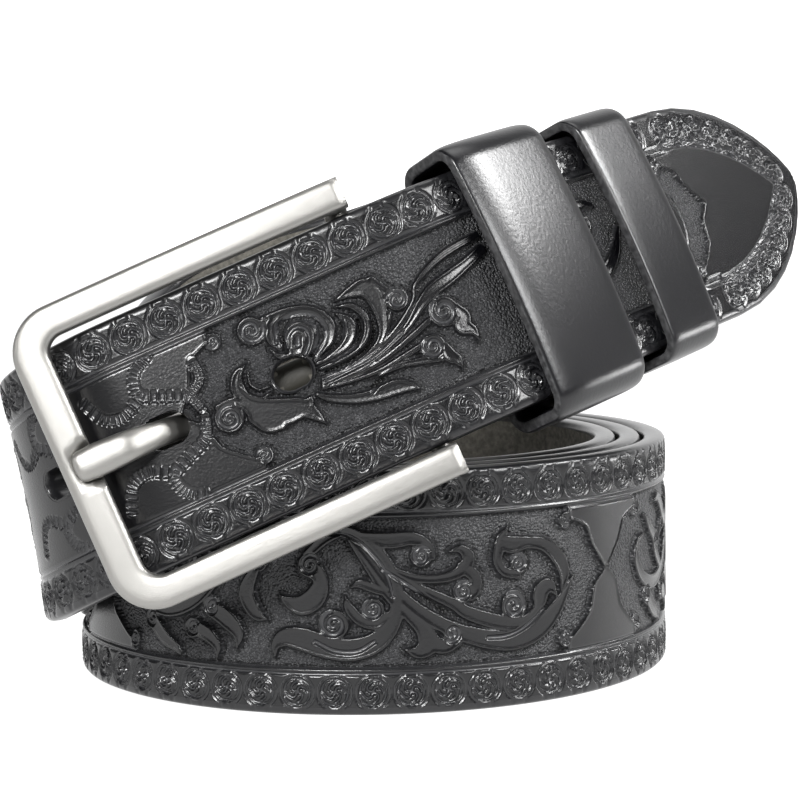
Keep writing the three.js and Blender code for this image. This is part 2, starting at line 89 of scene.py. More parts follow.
def place(s, v, w):
    """A point at s along the buckle stretch, v across it and w off its face, in the part's frame."""
    right = s > 0
    start = BACK_START if right else LEFT_START
    radius = BACK_RADIUS if right else LEFT_RADIUS
    limit = (BACK_ANGLE if right else LEFT_ANGLE) * RAD
    sign = 1 if right else -1
    past = max(0.0, abs(s) - start)
    angle = min(past / radius, limit)
    straight = past - angle * radius
    reach = min(abs(s), start) + radius * math.sin(angle) + straight * math.cos(angle)
    depth = radius * (1 - math.cos(angle)) + straight * math.sin(angle)
    off = OFF * math.cos(angle) + ALONG * sign * math.sin(angle)
    return ORIGIN + ALONG * sign * reach - OFF * depth + ACROSS * v + off * w


def coil_radius(azimuth):
    return COIL_RADIUS - COIL_PITCH * azimuth / 360


def coil_point(azimuth, radius, height):
    return np.array([-radius * math.sin(azimuth * RAD), -radius * math.cos(azimuth * RAD), height])


def stations():
    """Points of the finished face with across, thickness and half width, from the tip on."""
    out = []
    half = WIDTH / 2

    def add(point, across, thick=THICK, wide=half):
        across = np.array(across, float)
        out.append((np.array(point, float), across / np.linalg.norm(across), thick, wide))

    for share in (0.995, 0.975, 0.93, 0.87, 0.78, 0.66, 0.52, 0.36, 0.18, 0):
        add(place(TIP_REACH - TIP_TAPER * (1 - share), 0, 0), ACROSS, THICK,
            half * (1 - share ** 2) ** TIP_ROUND)
    end = LEFT_START + LEFT_RADIUS * LEFT_ANGLE * RAD
    start = TIP_REACH - TIP_TAPER
    steps = math.ceil((start + end) / 5)
    for i in range(1, steps + 1):
        s = start - (start + end) * i / steps
        bent = LEFT_UNTWIST * max(0.0, (-s - LEFT_START) / (end - LEFT_START))
        add(place(s, 0, 0), ACROSS * (1 - bent) + UP * bent)
    lean, drop = out[-1][1], out[-1][0][2]
    for azimuth, beyond, height, share in ((-275, 2.6, .72, .55), (-252, 1.4, .45, .33),
                                           (-230, .5, .2, .15), (-208, .1, .04, .03)):
        add(coil_point(azimuth, coil_radius(azimuth) + beyond, half + (drop - half) * height),
            UP * (1 - share) + lean * share)
    for azimuth in range(-180, 706, 15):
        add(coil_point(azimuth, coil_radius(azimuth), half), UP)
    for azimuth, height in ((735, .03), (765, .17), (795, .37), (825, .58), (850, .75), (875, .89)):
        add(coil_point(azimuth, coil_radius(azimuth) - .4, half + (57 - half) * height), UP)
    loop = ((.06, .76, 58), (.33, .72, 62.5), (.61, .61, 66.5), (.84, .44, 69.5), (.99, .23, 71.5),
            (1.03, .02, 72.3))
    for i, (x, y, height) in enumerate(loop):
        share = (i + 1) / (len(loop) + 1)
        add((x * COIL_RADIUS, y * COIL_RADIUS, height), UP * (1 - share) + ACROSS * share)
    under = -(THICK + LAYER_GAP)
    s = NARROW_KEEPER["start"] + NARROW_KEEPER["length"] + LAYERS_PAST_KEEPER
    while s > SKIVE_START + 1:
        add(place(s, 0, under), ACROSS)
        s -= 5
    add(place(SKIVE_START, 0, under), ACROSS)
    add(place(SKIVE_START - SKIVE_LENGTH, 0, under), ACROSS, FOLD_THICK)
    fold = BAR_DIAMETER / 2 + SEAT_GAP + FOLD_THICK
    for angle in range(0, 181, 30):
        add(place(BAR_S - fold * math.sin(angle * RAD), 0, BAR_W + fold * math.cos(angle * RAD)),
            ACROSS, FOLD_THICK)
    flat = -(2 * THICK + LAYER_GAP + SEAT_GAP + FOLD_THICK)
    for s in (SKIVE_START - SKIVE_LENGTH / 2, SKIVE_START + 1, BAR_S + FOLD_RETURN):
        settled = min(1, (s - BAR_S) / (SKIVE_START - BAR_S))
        add(place(s, 0, BAR_W - fold + (flat - BAR_W + fold) * settled), ACROSS, FOLD_THICK)
    return out


STATIONS = stations()
POINTS = np.array([s[0] for s in STATIONS])
TURNS = np.array([s[1] for s in STATIONS])
EXTRA = np.array([s[2:] for s in STATIONS])
GAPS = np.linalg.norm(np.diff(POINTS, axis=0), axis=1)
CHAIN = np.concatenate([[0], np.cumsum(GAPS)])
LENGTH = CHAIN[-1]


def slopes(values):
    step = np.diff(values, axis=0) / GAPS[:, None]
    out = np.vstack([step[:1], step])
    before, after = GAPS[:-1, None], GAPS[1:, None]
    out[1:-1] = (step[:-1] * after + step[1:] * before) / (before + after)
    return out


POINT_SLOPES, TURN_SLOPES = slopes(POINTS), slopes(TURNS)


def route(length):
    """Point, across, heading, off, thickness and half width at each length from the tip."""
    length = np.clip(length, 0, LENGTH - 1e-6)
    i = np.clip(np.searchsorted(CHAIN, length, side="right") - 1, 0, len(GAPS) - 1)
    gap = GAPS[i][:, None]
    t = ((length - CHAIN[i]) / GAPS[i])[:, None]

    def curve(values, slope):
        return (values[i] * (2 * t ** 3 - 3 * t ** 2 + 1) + slope[i] * (t ** 3 - 2 * t ** 2 + t) * gap
                + values[i + 1] * (3 * t ** 2 - 2 * t ** 3) + slope[i + 1] * (t ** 3 - t ** 2) * gap)

    point = curve(POINTS, POINT_SLOPES)
    point[:, 2] = np.maximum(point[:, 2], np.minimum(POINTS[i][:, 2], POINTS[i + 1][:, 2]))
    across = curve(TURNS, TURN_SLOPES)
    heading = np.gradient(point, axis=0)
    heading /= np.linalg.norm(heading, axis=1)[:, None]
    across -= heading * (across * heading).sum(1)[:, None]
    across /= np.linalg.norm(across, axis=1)[:, None]
    off = np.cross(across, heading)
    extra = EXTRA[i] * (1 - t) + EXTRA[i + 1] * t
    return point, across, heading, off, extra[:, 0], extra[:, 1]


def length_at(target, low, high):
    """The strap's length where the route passes closest to a point."""
    probe = np.arange(low, high, 0.2)
    point = route(probe)[0]
    return probe[np.argmin(np.linalg.norm(point - target, axis=1))]


MIDDLE = length_at(place(0, 0, 0), 80, 180)
FRONT = length_at(coil_point(0, COIL_RADIUS, WIDTH / 2), 380, 520)

# The part is shifted so that its box is centred on the origin: the shift is read off the frame
wide_low, wide_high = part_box("belt_strap")
probe = np.arange(0, LENGTH, 0.5)
face = route(probe)
everything = np.vstack([face[0] + face[1] * (face[5] * k)[:, None] - face[3] * (face[4] * d)[:, None]
                        for k in (-1, 1) for d in (0, 1)])
low, high = everything.min(0), everything.max(0)
SHIFT = (np.array(wide_low) + np.array(wide_high)) / 2 / MM - (low + high) / 2
SHIFT[2] = wide_low[2] / MM - low[2]

# Strokes of the tooling
CELL = 0.1
FAR = 9.0
HALF_FIELD, BORDER_LINE, RIM_LINE = 11.6, 12.0, 18.25
BORDER_MIDDLE, BORDER_PITCH, TIP_PITCH, DISC_RADIUS = 15.3, 6.0, 4.9, 2.62
# The coil's scrolls repeat every PERIOD, from COIL_LOW on
PERIOD, COIL_LOW = 94.6, -51.3


def smooth_line(rows, per=7):
    """A Catmull-Rom curve through rows of x, v and radius."""
    p = np.array(rows, float)
    if len(p) < 3:
        return np.array([p[0] + (p[-1] - p[0]) * k / per for k in range(per + 1)])
    p = np.vstack([2 * p[0] - p[1], p, 2 * p[-1] - p[-2]])
    out = []
    for i in range(1, len(p) - 2):
        for k in range(per):
            t = k / per
            out.append(0.5 * (2 * p[i] + (p[i + 1] - p[i - 1]) * t
                              + (2 * p[i - 1] - 5 * p[i] + 4 * p[i + 1] - p[i + 2]) * t * t
                              + (3 * p[i] - p[i - 1] - 3 * p[i + 1] + p[i + 2]) * t ** 3))
    out.append(p[-2])
    out = np.array(out)
    out[:, 2] = np.maximum(out[:, 2], 0.05)
    return out


def spiral_line(x, v, radius, turns=1.6, start=90, hand=1, width=0.2):
    out = []
    for k in range(int(turns * 20) + 1):
        share = k / (turns * 20)
        angle = (start + hand * 360 * turns * share) * RAD
        r = radius * (0.88 - 0.76 * share)
        out.append((x + r * math.cos(angle), v + r * math.sin(angle), width * (1 - 0.3 * share)))
    return np.array(out)


def dot(x, v, radius):
    return np.array([(x, v, radius), (x + 0.01, v, radius)])


class Panel:
    """A stretch of face, x to the right and v up, as distances to raised shapes and to grooves."""

    def __init__(self, low, high):
        self.low, self.high = low, high
        self.x = np.arange(low, high, CELL)
        self.v = np.arange(-WIDTH / 2, WIDTH / 2 + CELL, CELL)
        shape = (len(self.x), len(self.v))
        for layer in ("raised", "cut", "ridge", "crest", "disc"):
            setattr(self, layer, np.full(shape, FAR, np.float32))

    def stroke(self, line, layer, reach=1.6):
        for a, b in zip(line[:-1], line[1:]):
            r = max(a[2], b[2]) + reach
            i0 = max(0, int((min(a[0], b[0]) - r - self.low) / CELL))
            i1 = min(len(self.x), int((max(a[0], b[0]) + r - self.low) / CELL) + 2)
            j0 = max(0, int((min(a[1], b[1]) - r + WIDTH / 2) / CELL))
            j1 = min(len(self.v), int((max(a[1], b[1]) + r + WIDTH / 2) / CELL) + 2)
            if i0 >= i1 or j0 >= j1:
                continue
            gx, gv = self.x[i0:i1, None] - a[0], self.v[None, j0:j1] - a[1]
            dx, dv = b[0] - a[0], b[1] - a[1]
            t = np.clip((gx * dx + gv * dv) / max(dx * dx + dv * dv, 1e-9), 0, 1)
            d = np.hypot(gx - t * dx, gv - t * dv) - (a[2] + (b[2] - a[2]) * t)
            window = layer[i0:i1, j0:j1]
            np.minimum(window, d, out=window)

    def shape(self, *rows):
        self.stroke(smooth_line(rows), self.raised)

    def groove(self, *rows):
        self.stroke(smooth_line(rows), self.cut, 0.6)

    def lip(self, *rows):
        line = smooth_line(rows)
        self.stroke(line, self.raised)
        self.stroke(line, self.ridge)

    def curl(self, x, v, radius, start=90, hand=1, turns=1.6):
        """A raised disc with a spiral groove and a little ball in the middle."""
        self.stroke(dot(x, v, radius), self.raised)
        width = min(.26, .1 * radius + .03)
        self.stroke(spiral_line(x, v, radius, turns, start, hand, width), self.cut, 0.6)

    def rope(self, *rows):
        """A band of close cross ribs."""
        line = smooth_line([(x, v, 0.75) for x, v in rows], 10)
        self.stroke(line, self.raised)
        step = np.concatenate([[0], np.cumsum(np.hypot(*np.diff(line[:, :2], axis=0).T))])
        for k in np.arange(0.3, step[-1], 0.62):
            i = min(np.searchsorted(step, k), len(line) - 1)
            a, b = line[max(i - 1, 0)], line[min(i + 1, len(line) - 1)]
            n = np.array([-(b[1] - a[1]), b[0] - a[0]])
            n = n / max(np.hypot(*n), 1e-9) * 0.62
            ends = line[i, :2] + [[-n[0], -n[1]], [n[0], n[1]]]
            self.stroke(np.column_stack([ends, (.12, .12)]), self.cut, 0.5)
        self.stroke(np.array([(p[0], p[1], 0.82) for p in line]), self.ridge)


def fill_plain(panel, left, right):
    """Marks smooth leather between two edges, each a line of x and v."""
    v = panel.v
    a = np.interp(v, [r[1] for r in left], [r[0] for r in left])
    b = np.interp(v, [r[1] for r in right], [r[0] for r in right])
    inside = np.minimum(panel.x[:, None] - a[None, :], b[None, :] - panel.x[:, None])
    np.minimum(panel.raised, -inside, out=panel.raised)


# A bracket: the scalloped edge between stipple and smooth leather. x from its waist, v up
BRACKET = [(8.5, 12), (8.2, 9.6), (4.6, 8), (3.3, 5), (0.6, 1.6), (0, 0.8), (2.6, -1.4), (3.7, -5.6),
           (6.2, -8), (8.6, -9.8), (8.6, -12)]


def bracket(panel, waist, side, smooth_to):
    """side 1: stipple lies to the right of the bracket."""
    edge = [(waist + side * x, v) for x, v in BRACKET][::-1]
    other = [(smooth_to, -12), (smooth_to, 12)]
    if side > 0:
        fill_plain(panel, other, edge)
    else:
        fill_plain(panel, edge, other)
    line = smooth_line([(x, v, 0.16) for x, v in edge[1:-1]])
    panel.stroke(line, panel.ridge)
    for x, v, start in ((8.0, 9.4, 200), (8.2, -9.5, 160)):
        hand = side * (1 if v > 0 else -1)
        panel.curl(waist + side * (x + 0.8), v, 1.35, start if side > 0 else 180 - start, hand, 1.3)


def scrolls(p):
    """The big scrolls of the coil's front. x from the front's middle."""
    s, g, c = p.shape, p.groove, p.curl
    # Right: the long hooked band, the stem to the middle spiral, leaves and top scroll
    s((-3, 10, .5), (1, 5.6, .9), (4, 1.5, .9), (8, -2.4, 1), (12.5, -5.4, 1.2), (16.3, -7, 1.4),
      (20.4, -8.1, 1.6), (24.4, -8.4, 1.7), (28.5, -7, 1.8), (32, -4.2, 1.3), (35.4, .3, .25))
    s((-1, 9.6, .5), (3.1, 4.4, .6), (7.2, 1.4, .7), (13.5, -1.8, .9), (16.3, -3.6, 1.1),
      (21, -5.3, 1.2), (25.5, -5.9, 1.1), (28.4, -4, 1.1), (29, -1.4, 1.5), (30.6, -.6, 1.1),
      (32, -2.2, .2))
    s((3.4, 4.2, .4), (8, 2.3, .7), (12.4, 2.1, .8), (15.4, 3.2, 1), (16.4, 5, 1.1), (15.2, 6.4, .7),
      (13.3, 6.1, .15))
    s((15.4, 3.6, 1), (17.2, 2.2, 1.1), (17.6, .2, .9), (16.8, -1, .8))
    c(15.6, -.2, 1.75, 60, 1)
    c(24, -3, 2.3, 120, -1)
    s((23, 9.4, .12), (21.9, 7.4, 1), (23.6, 6.5, 1.4), (26.6, 6.6, 1), (29.6, 6, 1.1), (32.2, 4, 1.3),
      (33.6, 1.2, 1.1), (33, -2, .2))
    s((21.6, 6.6, 1), (21.2, 4.2, .8), (22.4, 2.4, .8), (24.6, 1.8, .8))
    c(25, 3.5, 1.65, 150, -1)
    s((-2, 8.4, .4), (3, .8, .8), (6.2, -2.8, .9), (8.8, -5.4, 1.2), (9.9, -7.8, 1.7), (8.4, -9.2, 1.1),
      (6.2, -8.8, .15))
    s((9.9, -7.8, 1.6), (12.6, -8.6, 1.1), (14.6, -7.8, .8))
    c(13.7, -6.6, 1.55, 230, 1)
    s((-4, 10, .4), (0, 8.8, .9), (4, 8.2, 1.3), (7.5, 8.4, 1.1), (10, 7.2, .8), (10.6, 5.4, .6))
    c(8.9, 5.6, 1.7, 40, 1)
    g((19.5, -7.7, .2), (23.2, -7.6, .2), (27.2, -5.9, .2), (30.9, -2.8, .1))
    g((3, 3.8, .12), (8, .4, .16), (12.8, -3.4, .16))
    # Left: the great arch ending in a leaf round a spiral, and its inner leaves
    s((-6, 10.2, .5), (-2.4, 9.6, 1), (1.4, 7.4, 1), (4, 4, 1), (5.2, 0, 1.1), (4.6, -4, 1.3),
      (2.2, -7.2, 1.6), (-1.6, -8.6, 1.8), (-5.6, -8.3, 1.8), (-9, -7.2, 1.9), (-12, -6.8, 1.5),
      (-13.8, -8, .8), (-14, -10, .12))
    c(-4.7, -4.7, 2.4, 100, 1)
    c(1.4, -2.4, 1.8, 120, 1)
    s((-2.8, -.3, .12), (-2.2, -2.2, .8), (-.6, -4, .9), (1.8, -4.7, .9), (3.6, -3.6, .9))
    s((-2, 1, .12), (-.6, 1.6, .7), (.8, 1.2, .8), (2.4, .6, .8), (3.8, .4, .8))
    s((-8.1, 4.4, 1.7), (-6.6, 2.2, 1.2), (-7.4, -.4, 1.7), (-9.6, -1.8, 1.6), (-11.8, -1.2, .8),
      (-13, -.2, .12))
    s((-8.4, 6.2, .8), (-6, 8.4, .9), (-3.4, 9.8, .9))
    c(-8.2, 4.4, 1.9, 20, 1)
    g((-7.6, -7.4, .2), (-4.6, -8.8, .22), (-1.2, -8.9, .22), (1.6, -7.4, .2))
    g((-5.6, 9.6, .15), (-2, 8.9, .15), (1, 6.7, .15), (3.4, 3.4, .15), (4.5, -.4, .12))
    # Far left: small leaves and spirals on a falling stem
    s((-13, 10.4, .5), (-18, 8.2, .8), (-22, 4.6, .9), (-25, .6, 1), (-29, -2.6, 1.1), (-34, -4, 1.2),
      (-39, -2.6, 1.1), (-41.6, .6, .9), (-41, 3.6, .5), (-39, 4.6, .2))
    s((-27.8, -6.4, 1.3), (-25.6, -7.2, 1.2), (-24, -8.8, .8), (-23.9, -10.6, .12))
    c(-28.6, -6.4, 1.6, 40, 1)
    s((-24.4, -3.2, 1.4), (-22, -4.6, 1.5), (-20.2, -6.6, 1), (-20.4, -9, .12))
    c(-24.8, -2.8, 1.6, 40, 1)
    s((-36.6, -6.4, 1.3), (-34.4, -8.6, 1.2), (-32, -9.8, .8), (-31, -11, .12))
    c(-37.4, -5.8, 1.6, 60, 1)
    s((-22, 4.6, .8), (-25.6, 5.6, 1.1), (-28.4, 8, 1.2), (-31, 9.6, .8), (-33.4, 9.4, .15))
    c(-27.6, 4.4, 1.6, 320, -1)
    s((-29, -2.4, .8), (-32.4, .6, 1), (-33.6, 3.4, 1.1), (-36, 5.4, .8), (-38.4, 7.8, .12))
    c(-32.2, 2.8, 1.5, 320, -1)
    s((-15, 9.4, .6), (-17, 4, .8), (-18.6, 0, 1.3), (-17.2, -3.2, 1.1), (-15.2, -4.2, .15))
    c(-16.4, 4.6, 1.4, 0, 1)
    bracket(p, 42.9, -1, 60)
    bracket(p, -50.9, 1, -60)


# The fan's places were read off an enlarged crop of the photo, in its pixels: u to the
# right, w down. The third number is the stroke's radius in mm. The crop's corner is in mm along
# and across the strap, and each step is one pixel's way there
CROP_CORNER = (-3.656, 26.81)
CROP_STEP_RIGHT, CROP_STEP_DOWN = (0.026508, -0.011391), (-0.011391, -0.026727)
FAN_SHAPES = {
    "hood": [(480, 630, .5), (435, 570, .9), (455, 485, .9), (560, 445, .9), (660, 452, .9),
        (735, 515, .9), (738, 590, .8), (700, 650, .5), (655, 705, .2)],
    "hood_tip": [(400, 470, .12), (440, 470, .6), (500, 455, .7)],
    "inner_loops": [(560, 640, 1.2), (560, 560, 1.6), (620, 560, 1.8), (630, 620, 1.2), (600, 680, .6)],
    "second_plume": [(775, 460, .15), (835, 500, .8), (848, 560, 1), (820, 625, .8), (750, 680, .5),
        (670, 722, .3)],
    "third_plume": [(775, 425, .15), (860, 425, .5), (925, 480, .55), (935, 560, .55), (900, 630, .5),
        (800, 700, .45), (690, 745, .3)],
    "fin": [(775, 392, .2), (860, 350, .9), (940, 330, 1.5), (990, 400, 1.3), (1015, 500, .9),
        (1010, 590, .6), (940, 680, .45), (820, 760, .4), (700, 790, .25)],
    "fin_back": [(960, 290, .7), (1030, 345, .8), (1090, 400, 1)],
    "fin_curl_stem": [(1050, 470, .6), (1045, 540, .4), (1000, 630, .3)],
    "upper_stem": [(1560, 30, .6), (1450, 95, .6), (1350, 155, .6), (1260, 235, .5), (1190, 325, .3),
        (1180, 400, .3), (1110, 520, .35), (1000, 640, .4), (850, 760, .4), (700, 810, .25)],
    "middle_stem": [(1580, 110, .9), (1480, 195, .9), (1390, 270, 1.1), (1290, 340, 1.1), (1215, 430, .8),
        (1150, 530, .6), (1050, 630, .5), (900, 745, .4), (700, 825, .25)],
    "stem_to_large_curl": [(1262, 505, .5), (1180, 580, .5), (1080, 660, .45), (950, 745, .4),
        (700, 840, .25)],
    "large_curl_leaf": [(1410, 430, .7), (1455, 480, 1.1), (1440, 530, 1.3), (1500, 550, .8),
        (1532, 605, .12)],
    "stem_to_low_curl": [(1210, 640, .5), (1130, 690, .5), (1000, 760, .4), (850, 812, .35),
        (700, 850, .25)],
    "low_curl_leaf": [(1340, 640, .8), (1370, 690, 1.1), (1410, 710, .8), (1436, 756, .12)],
    "low_curl_root": [(1320, 700, .7), (1220, 715, .6), (1110, 735, .5), (1000, 785, .3)],
    "low_leaf": [(672, 880, .4), (740, 900, .6), (860, 905, .8), (980, 885, 1), (1080, 850, 1.2),
        (1150, 845, .8), (1206, 858, .12)],
    "lobed_leaf": [(302, 712, .1), (255, 770, .7), (250, 845, .9), (310, 920, 1.3), (400, 970, 2.2),
        (500, 965, 2.1), (590, 950, 1.5), (650, 985, .9), (714, 1032, .1)],
    "lobed_leaf_shoulder": [(640, 892, .2), (615, 935, 1.1), (560, 960, 1.5)],
    "lobed_leaf_curl_stem": [(300, 920, 1.1), (220, 910, .6), (150, 940, .45)],
    "lobed_leaf_belly": [(350, 990, 1.3), (410, 1040, 1), (480, 1030, .9)],
    "hood_curl_stem": [(395, 480, .4), (412, 545, .5), (430, 600, .5), (480, 640, .4)],
    "hood_spur": [(430, 645, .12), (480, 678, .5), (540, 672, .3)],
}
FAN_GROOVES = {
    "hood_outer": [(462, 612, .14), (470, 515, .16), (560, 465, .18), (660, 470, .18), (715, 530, .18),
        (718, 595, .16), (668, 690, .12)],
    "hood_middle": [(500, 605, .14), (512, 530, .16), (580, 490, .18), (650, 512, .18), (680, 570, .16),
        (640, 680, .12)],
    "hood_inner": [(525, 635, .12), (524, 570, .14), (570, 530, .16), (622, 548, .16), (635, 600, .14),
        (608, 675, .1)],
    "hood_eye": [(575, 585, .3), (575, 620, .34)],
    "second_plume": [(800, 480, .12), (815, 560, .14), (785, 625, .14), (700, 690, .1)],
    "third_plume": [(890, 500, .12), (905, 570, .12), (870, 640, .12), (760, 705, .1)],
    "fin_inner": [(962, 510, .14), (965, 590, .14), (900, 670, .14), (720, 765, .1)],
    "low_leaf_hook": [(985, 840, .1), (960, 865, .2), (975, 830, .2), (1015, 800, .1)],
    "stem_upper": [(1000, 640, .1), (860, 735, .12), (700, 800, .1)],
    "stem_lower": [(1120, 560, .1), (960, 700, .12), (720, 815, .1)],
}
FAN_LIPS = {
    "left_outer": [(285, 742, .16), (273, 800, .18), (305, 865, .18), (375, 892, .18), (432, 868, .16)],
    "left_inner": [(310, 760, .14), (322, 822, .16), (368, 850, .16), (418, 835, .14)],
}
# Place, radius, start angle and hand
FAN_CURLS = {
    "hood_curl": (330, 545, 2.2, 0, -1),
    "fin_curl": (1095, 395, 1.75, 150, -1),
    "large_curl": (1345, 455, 2.4, 120, 1),
    "low_curl": (1280, 640, 1.95, 120, 1),
    "lobed_leaf_curl": (210, 995, 2.25, 60, 1),
}


def crop_place(u, w):
    """A place on the crop as mm along and across the strap, to a tenth."""
    steps = zip(CROP_CORNER, CROP_STEP_RIGHT, CROP_STEP_DOWN)
    return [round(corner + right * u + down * w, 1) for corner, right, down in steps]


def fan(p):
    """The stretch between buckle and keepers, and the tip. x from the stretch's middle."""
    for draw, strokes in ((p.shape, FAN_SHAPES), (p.groove, FAN_GROOVES), (p.lip, FAN_LIPS)):
        for rows in strokes.values():
            draw(*[(*crop_place(u, w), radius) for u, w, radius in rows])
    for u, w, radius, start, hand in FAN_CURLS.values():
        p.curl(*crop_place(u, w), radius, start, hand)
    s, c = p.shape, p.curl
    # Past the wide keeper: stems end in a bracket towards the tip
    s((40, 7, .6), (50, 3, .8), (58, 4.6, 1), (62, 7.6, 1), (66, 7, .5))
    s((42, 0, .6), (52, -3, .8), (60, -4.6, 1.1), (66, -2, 1), (70, 2, .4))
    c(62, 4.4, 1.7, 60, 1)
    c(60, -1.4, 1.7, 240, 1)
    s((76, 10, .8), (82, 7.4, 1.1), (85.6, 3.4, 1.3), (86.4, -1, 1.2), (84.6, -5, 1), (80, -7.6, .4))
    s((78, 3, .8), (82, 1.2, 1.2), (83.4, -2.4, .9), (81, -5, .2))
    bracket(p, 95, -1, 130)
    # Left of the fan the stipple ends in a bracket
    bracket(p, -15.9, 1, -32)


def scales(p, holes):
    """Ribbed arcs round holes in smooth leather."""
    for at in holes:
        p.rope((at + 6.2, 0.5), (at + 5, 3.2), (at + 1.6, 4.8))
        p.rope((at + 6.2, -0.5), (at + 5, -3.4), (at + 1.6, -5))
        p.rope((at + 1.6, 4.8), (at - 1.6, 6.6), (at - 1, 9.6), (at + 1.8, 11.4))
        p.rope((at + 1.6, -5), (at - 1.6, -6.8), (at - 1, -9.6), (at + 1.8, -11.4))
        p.rope((at - 1.4, 6.2), (at - 5, 4.6), (at - 8, 5.4), (at - 10, 8.8))
        p.rope((at - 1.4, -6.4), (at - 5, -4.8), (at - 8, -5.6), (at - 10, -9))
        p.rope((at + 5, 3.2), (at + 7.6, 5), (at + 7.8, 8))


def medallion(p, x, v, radius, turn=0.4):
    """A ring, and four commas that turn in it from round heads near the middle."""
    def arc(r0, r1, a0, a1, w0, w1, layer, steps=10):
        line = []
        for q in np.linspace(0, 1, steps):
            r, a = r0 + (r1 - r0) * q ** .8, a0 + (a1 - a0) * q
            line.append((x + r * math.cos(a), v + r * math.sin(a), w0 + (w1 - w0) * q ** .6))
        p.stroke(np.array(line), layer, .8)

    arc(radius - .18, radius - .18, 0, 2 * math.pi, .13, .13, p.crest, 26)
    for k in range(4):
        a0 = turn + k * math.pi / 2
        arc(.3 * radius, .74 * radius, a0, a0 - 1.9, .36, .08, p.crest)
        arc(.62 * radius, .76 * radius, a0 - .5, a0 - 1.5, .07, .07, p.crest, 6)


def soft_step(value, low, high):
    """0 below low, 1 above high, smooth between."""
    t = np.clip((value - low) / (high - low), 0, 1)
    return t * t * (3 - 2 * t)


def bell(value, at, wide):
    return np.exp(-((value - at) / wide) ** 2)


# Depth of the stipple and of a groove, and height of a shape's lip, in mm
GROUND, SINK, LIP = 0.62, 0.46, 0.12
# Border lines between field and medallions, and along the rim
LINE_DEPTH, LINE_WIDE, RIM_DEPTH, RIM_WIDE = 0.42, 0.26, 0.25, 0.22


def press_field(p, inside, moat, ridge):
    """Height in mm and share of stipple, where inside is 1."""
    ground = soft_step(p.raised, -.12, .34) * inside
    height = -GROUND * ground + LIP * bell(p.raised, -.28, .2) * inside
    height -= moat * bell(p.raised, .42, .22) * inside
    height -= SINK * (1 - soft_step(p.cut, -.02, .26)) * inside
    height += ridge * (1 - soft_step(p.ridge, -.1, .2)) * inside
    return height, ground


def press_discs(p, band):
    """Height of the medallions, which stand in pressed ground between plain triangles."""
    crests = -.52 + .62 * (1 - soft_step(p.crest, -.1, .16))
    return crests * (1 - soft_step(p.disc, -.1, .12)) * band - .28 * bell(p.disc, .12, .14) * band


def finish_panel(p):
    """Height in mm and the share of stipple, from the panel's distances."""
    v = np.abs(p.v)[None, :] + np.zeros_like(p.raised)
    height, ground = press_field(p, 1 - soft_step(v, HALF_FIELD - .3, HALF_FIELD), moat=.16, ridge=.14)
    for at in (BORDER_LINE - .5, BORDER_LINE + .45):
        height -= LINE_DEPTH * bell(v, at, LINE_WIDE)
    height -= RIM_DEPTH * bell(v, RIM_LINE, RIM_WIDE)
    band = soft_step(v, BORDER_LINE + .7, BORDER_LINE + .9) * (1 - soft_step(v, 17.9, 18.1))
    height += press_discs(p, band)
    return height.astype(np.float32), ground.astype(np.float32)


def add_discs(p, centres):
    for x, v in centres:
        p.stroke(dot(x, v, DISC_RADIUS), p.disc, 1.5)
        medallion(p, x, v, DISC_RADIUS)


def border_centres(low, high, first, pitch):
    count = np.arange(math.ceil((low - first) / pitch), math.floor((high - first) / pitch) + 1)
    return [(first + k * pitch, v) for k in count for v in (BORDER_MIDDLE, -BORDER_MIDDLE)]


def tip_centres():
    """Round the tip the medallions follow the outline, set in from it."""
    path = []
    for x in np.arange(86, TIP_REACH, .25):
        share = max(0.0, (x + 5.6 - (TIP_REACH - TIP_TAPER)) / TIP_TAPER)
        if share < 1:
            path.append((x, BORDER_MIDDLE * (1 - share ** 2) ** TIP_ROUND))
    path = np.array(path)
    run = np.concatenate([[0], np.cumsum(np.hypot(*np.diff(path, axis=0).T))])
    out = []
    for k in np.arange(BORDER_PITCH, run[-1], TIP_PITCH):
        x, v = np.interp(k, run, path[:, 0]), np.interp(k, run, path[:, 1])
        out += [(x, v), (x, -v)] if v > 2 else [(x, v)]
    return out


def stretch_panel():
    p = Panel(-72, 128)
    fan(p)
    scales(p, [hole["x"] for hole in HOLES[1:4]])
    fill_plain(p, [(-80, -12), (-80, 12)], [(-31.5, -12), (-31.5, 12)])
    add_discs(p, border_centres(-72, 87, 29.8, BORDER_PITCH) + tip_centres())
    return p


def coil_panel():
    p = Panel(-51.5, 43.4)
    scrolls(p)
    add_discs(p, border_centres(-60, 60, 1.2, PERIOD / 16))
    return p


def sample(f, panel, x, v):
    """A panel's field f at places x along and v across, by straight steps between its cells."""
    i = np.clip(((x - panel.low) / CELL), 0, len(panel.x) - 2)
    j = np.clip(((v + WIDTH / 2) / CELL), 0, len(panel.v) - 2)
    i0, j0 = i.astype(int), j.astype(int)
    a, b = (i - i0)[:, None], (j - j0)[None, :]
    near_row = f[i0][:, j0] * (1 - b) + f[i0][:, j0 + 1] * b
    far_row = f[i0 + 1][:, j0] * (1 - b) + f[i0 + 1][:, j0 + 1] * b
    return near_row * (1 - a) + far_row * a


STRETCH, COIL = stretch_panel(), coil_panel()


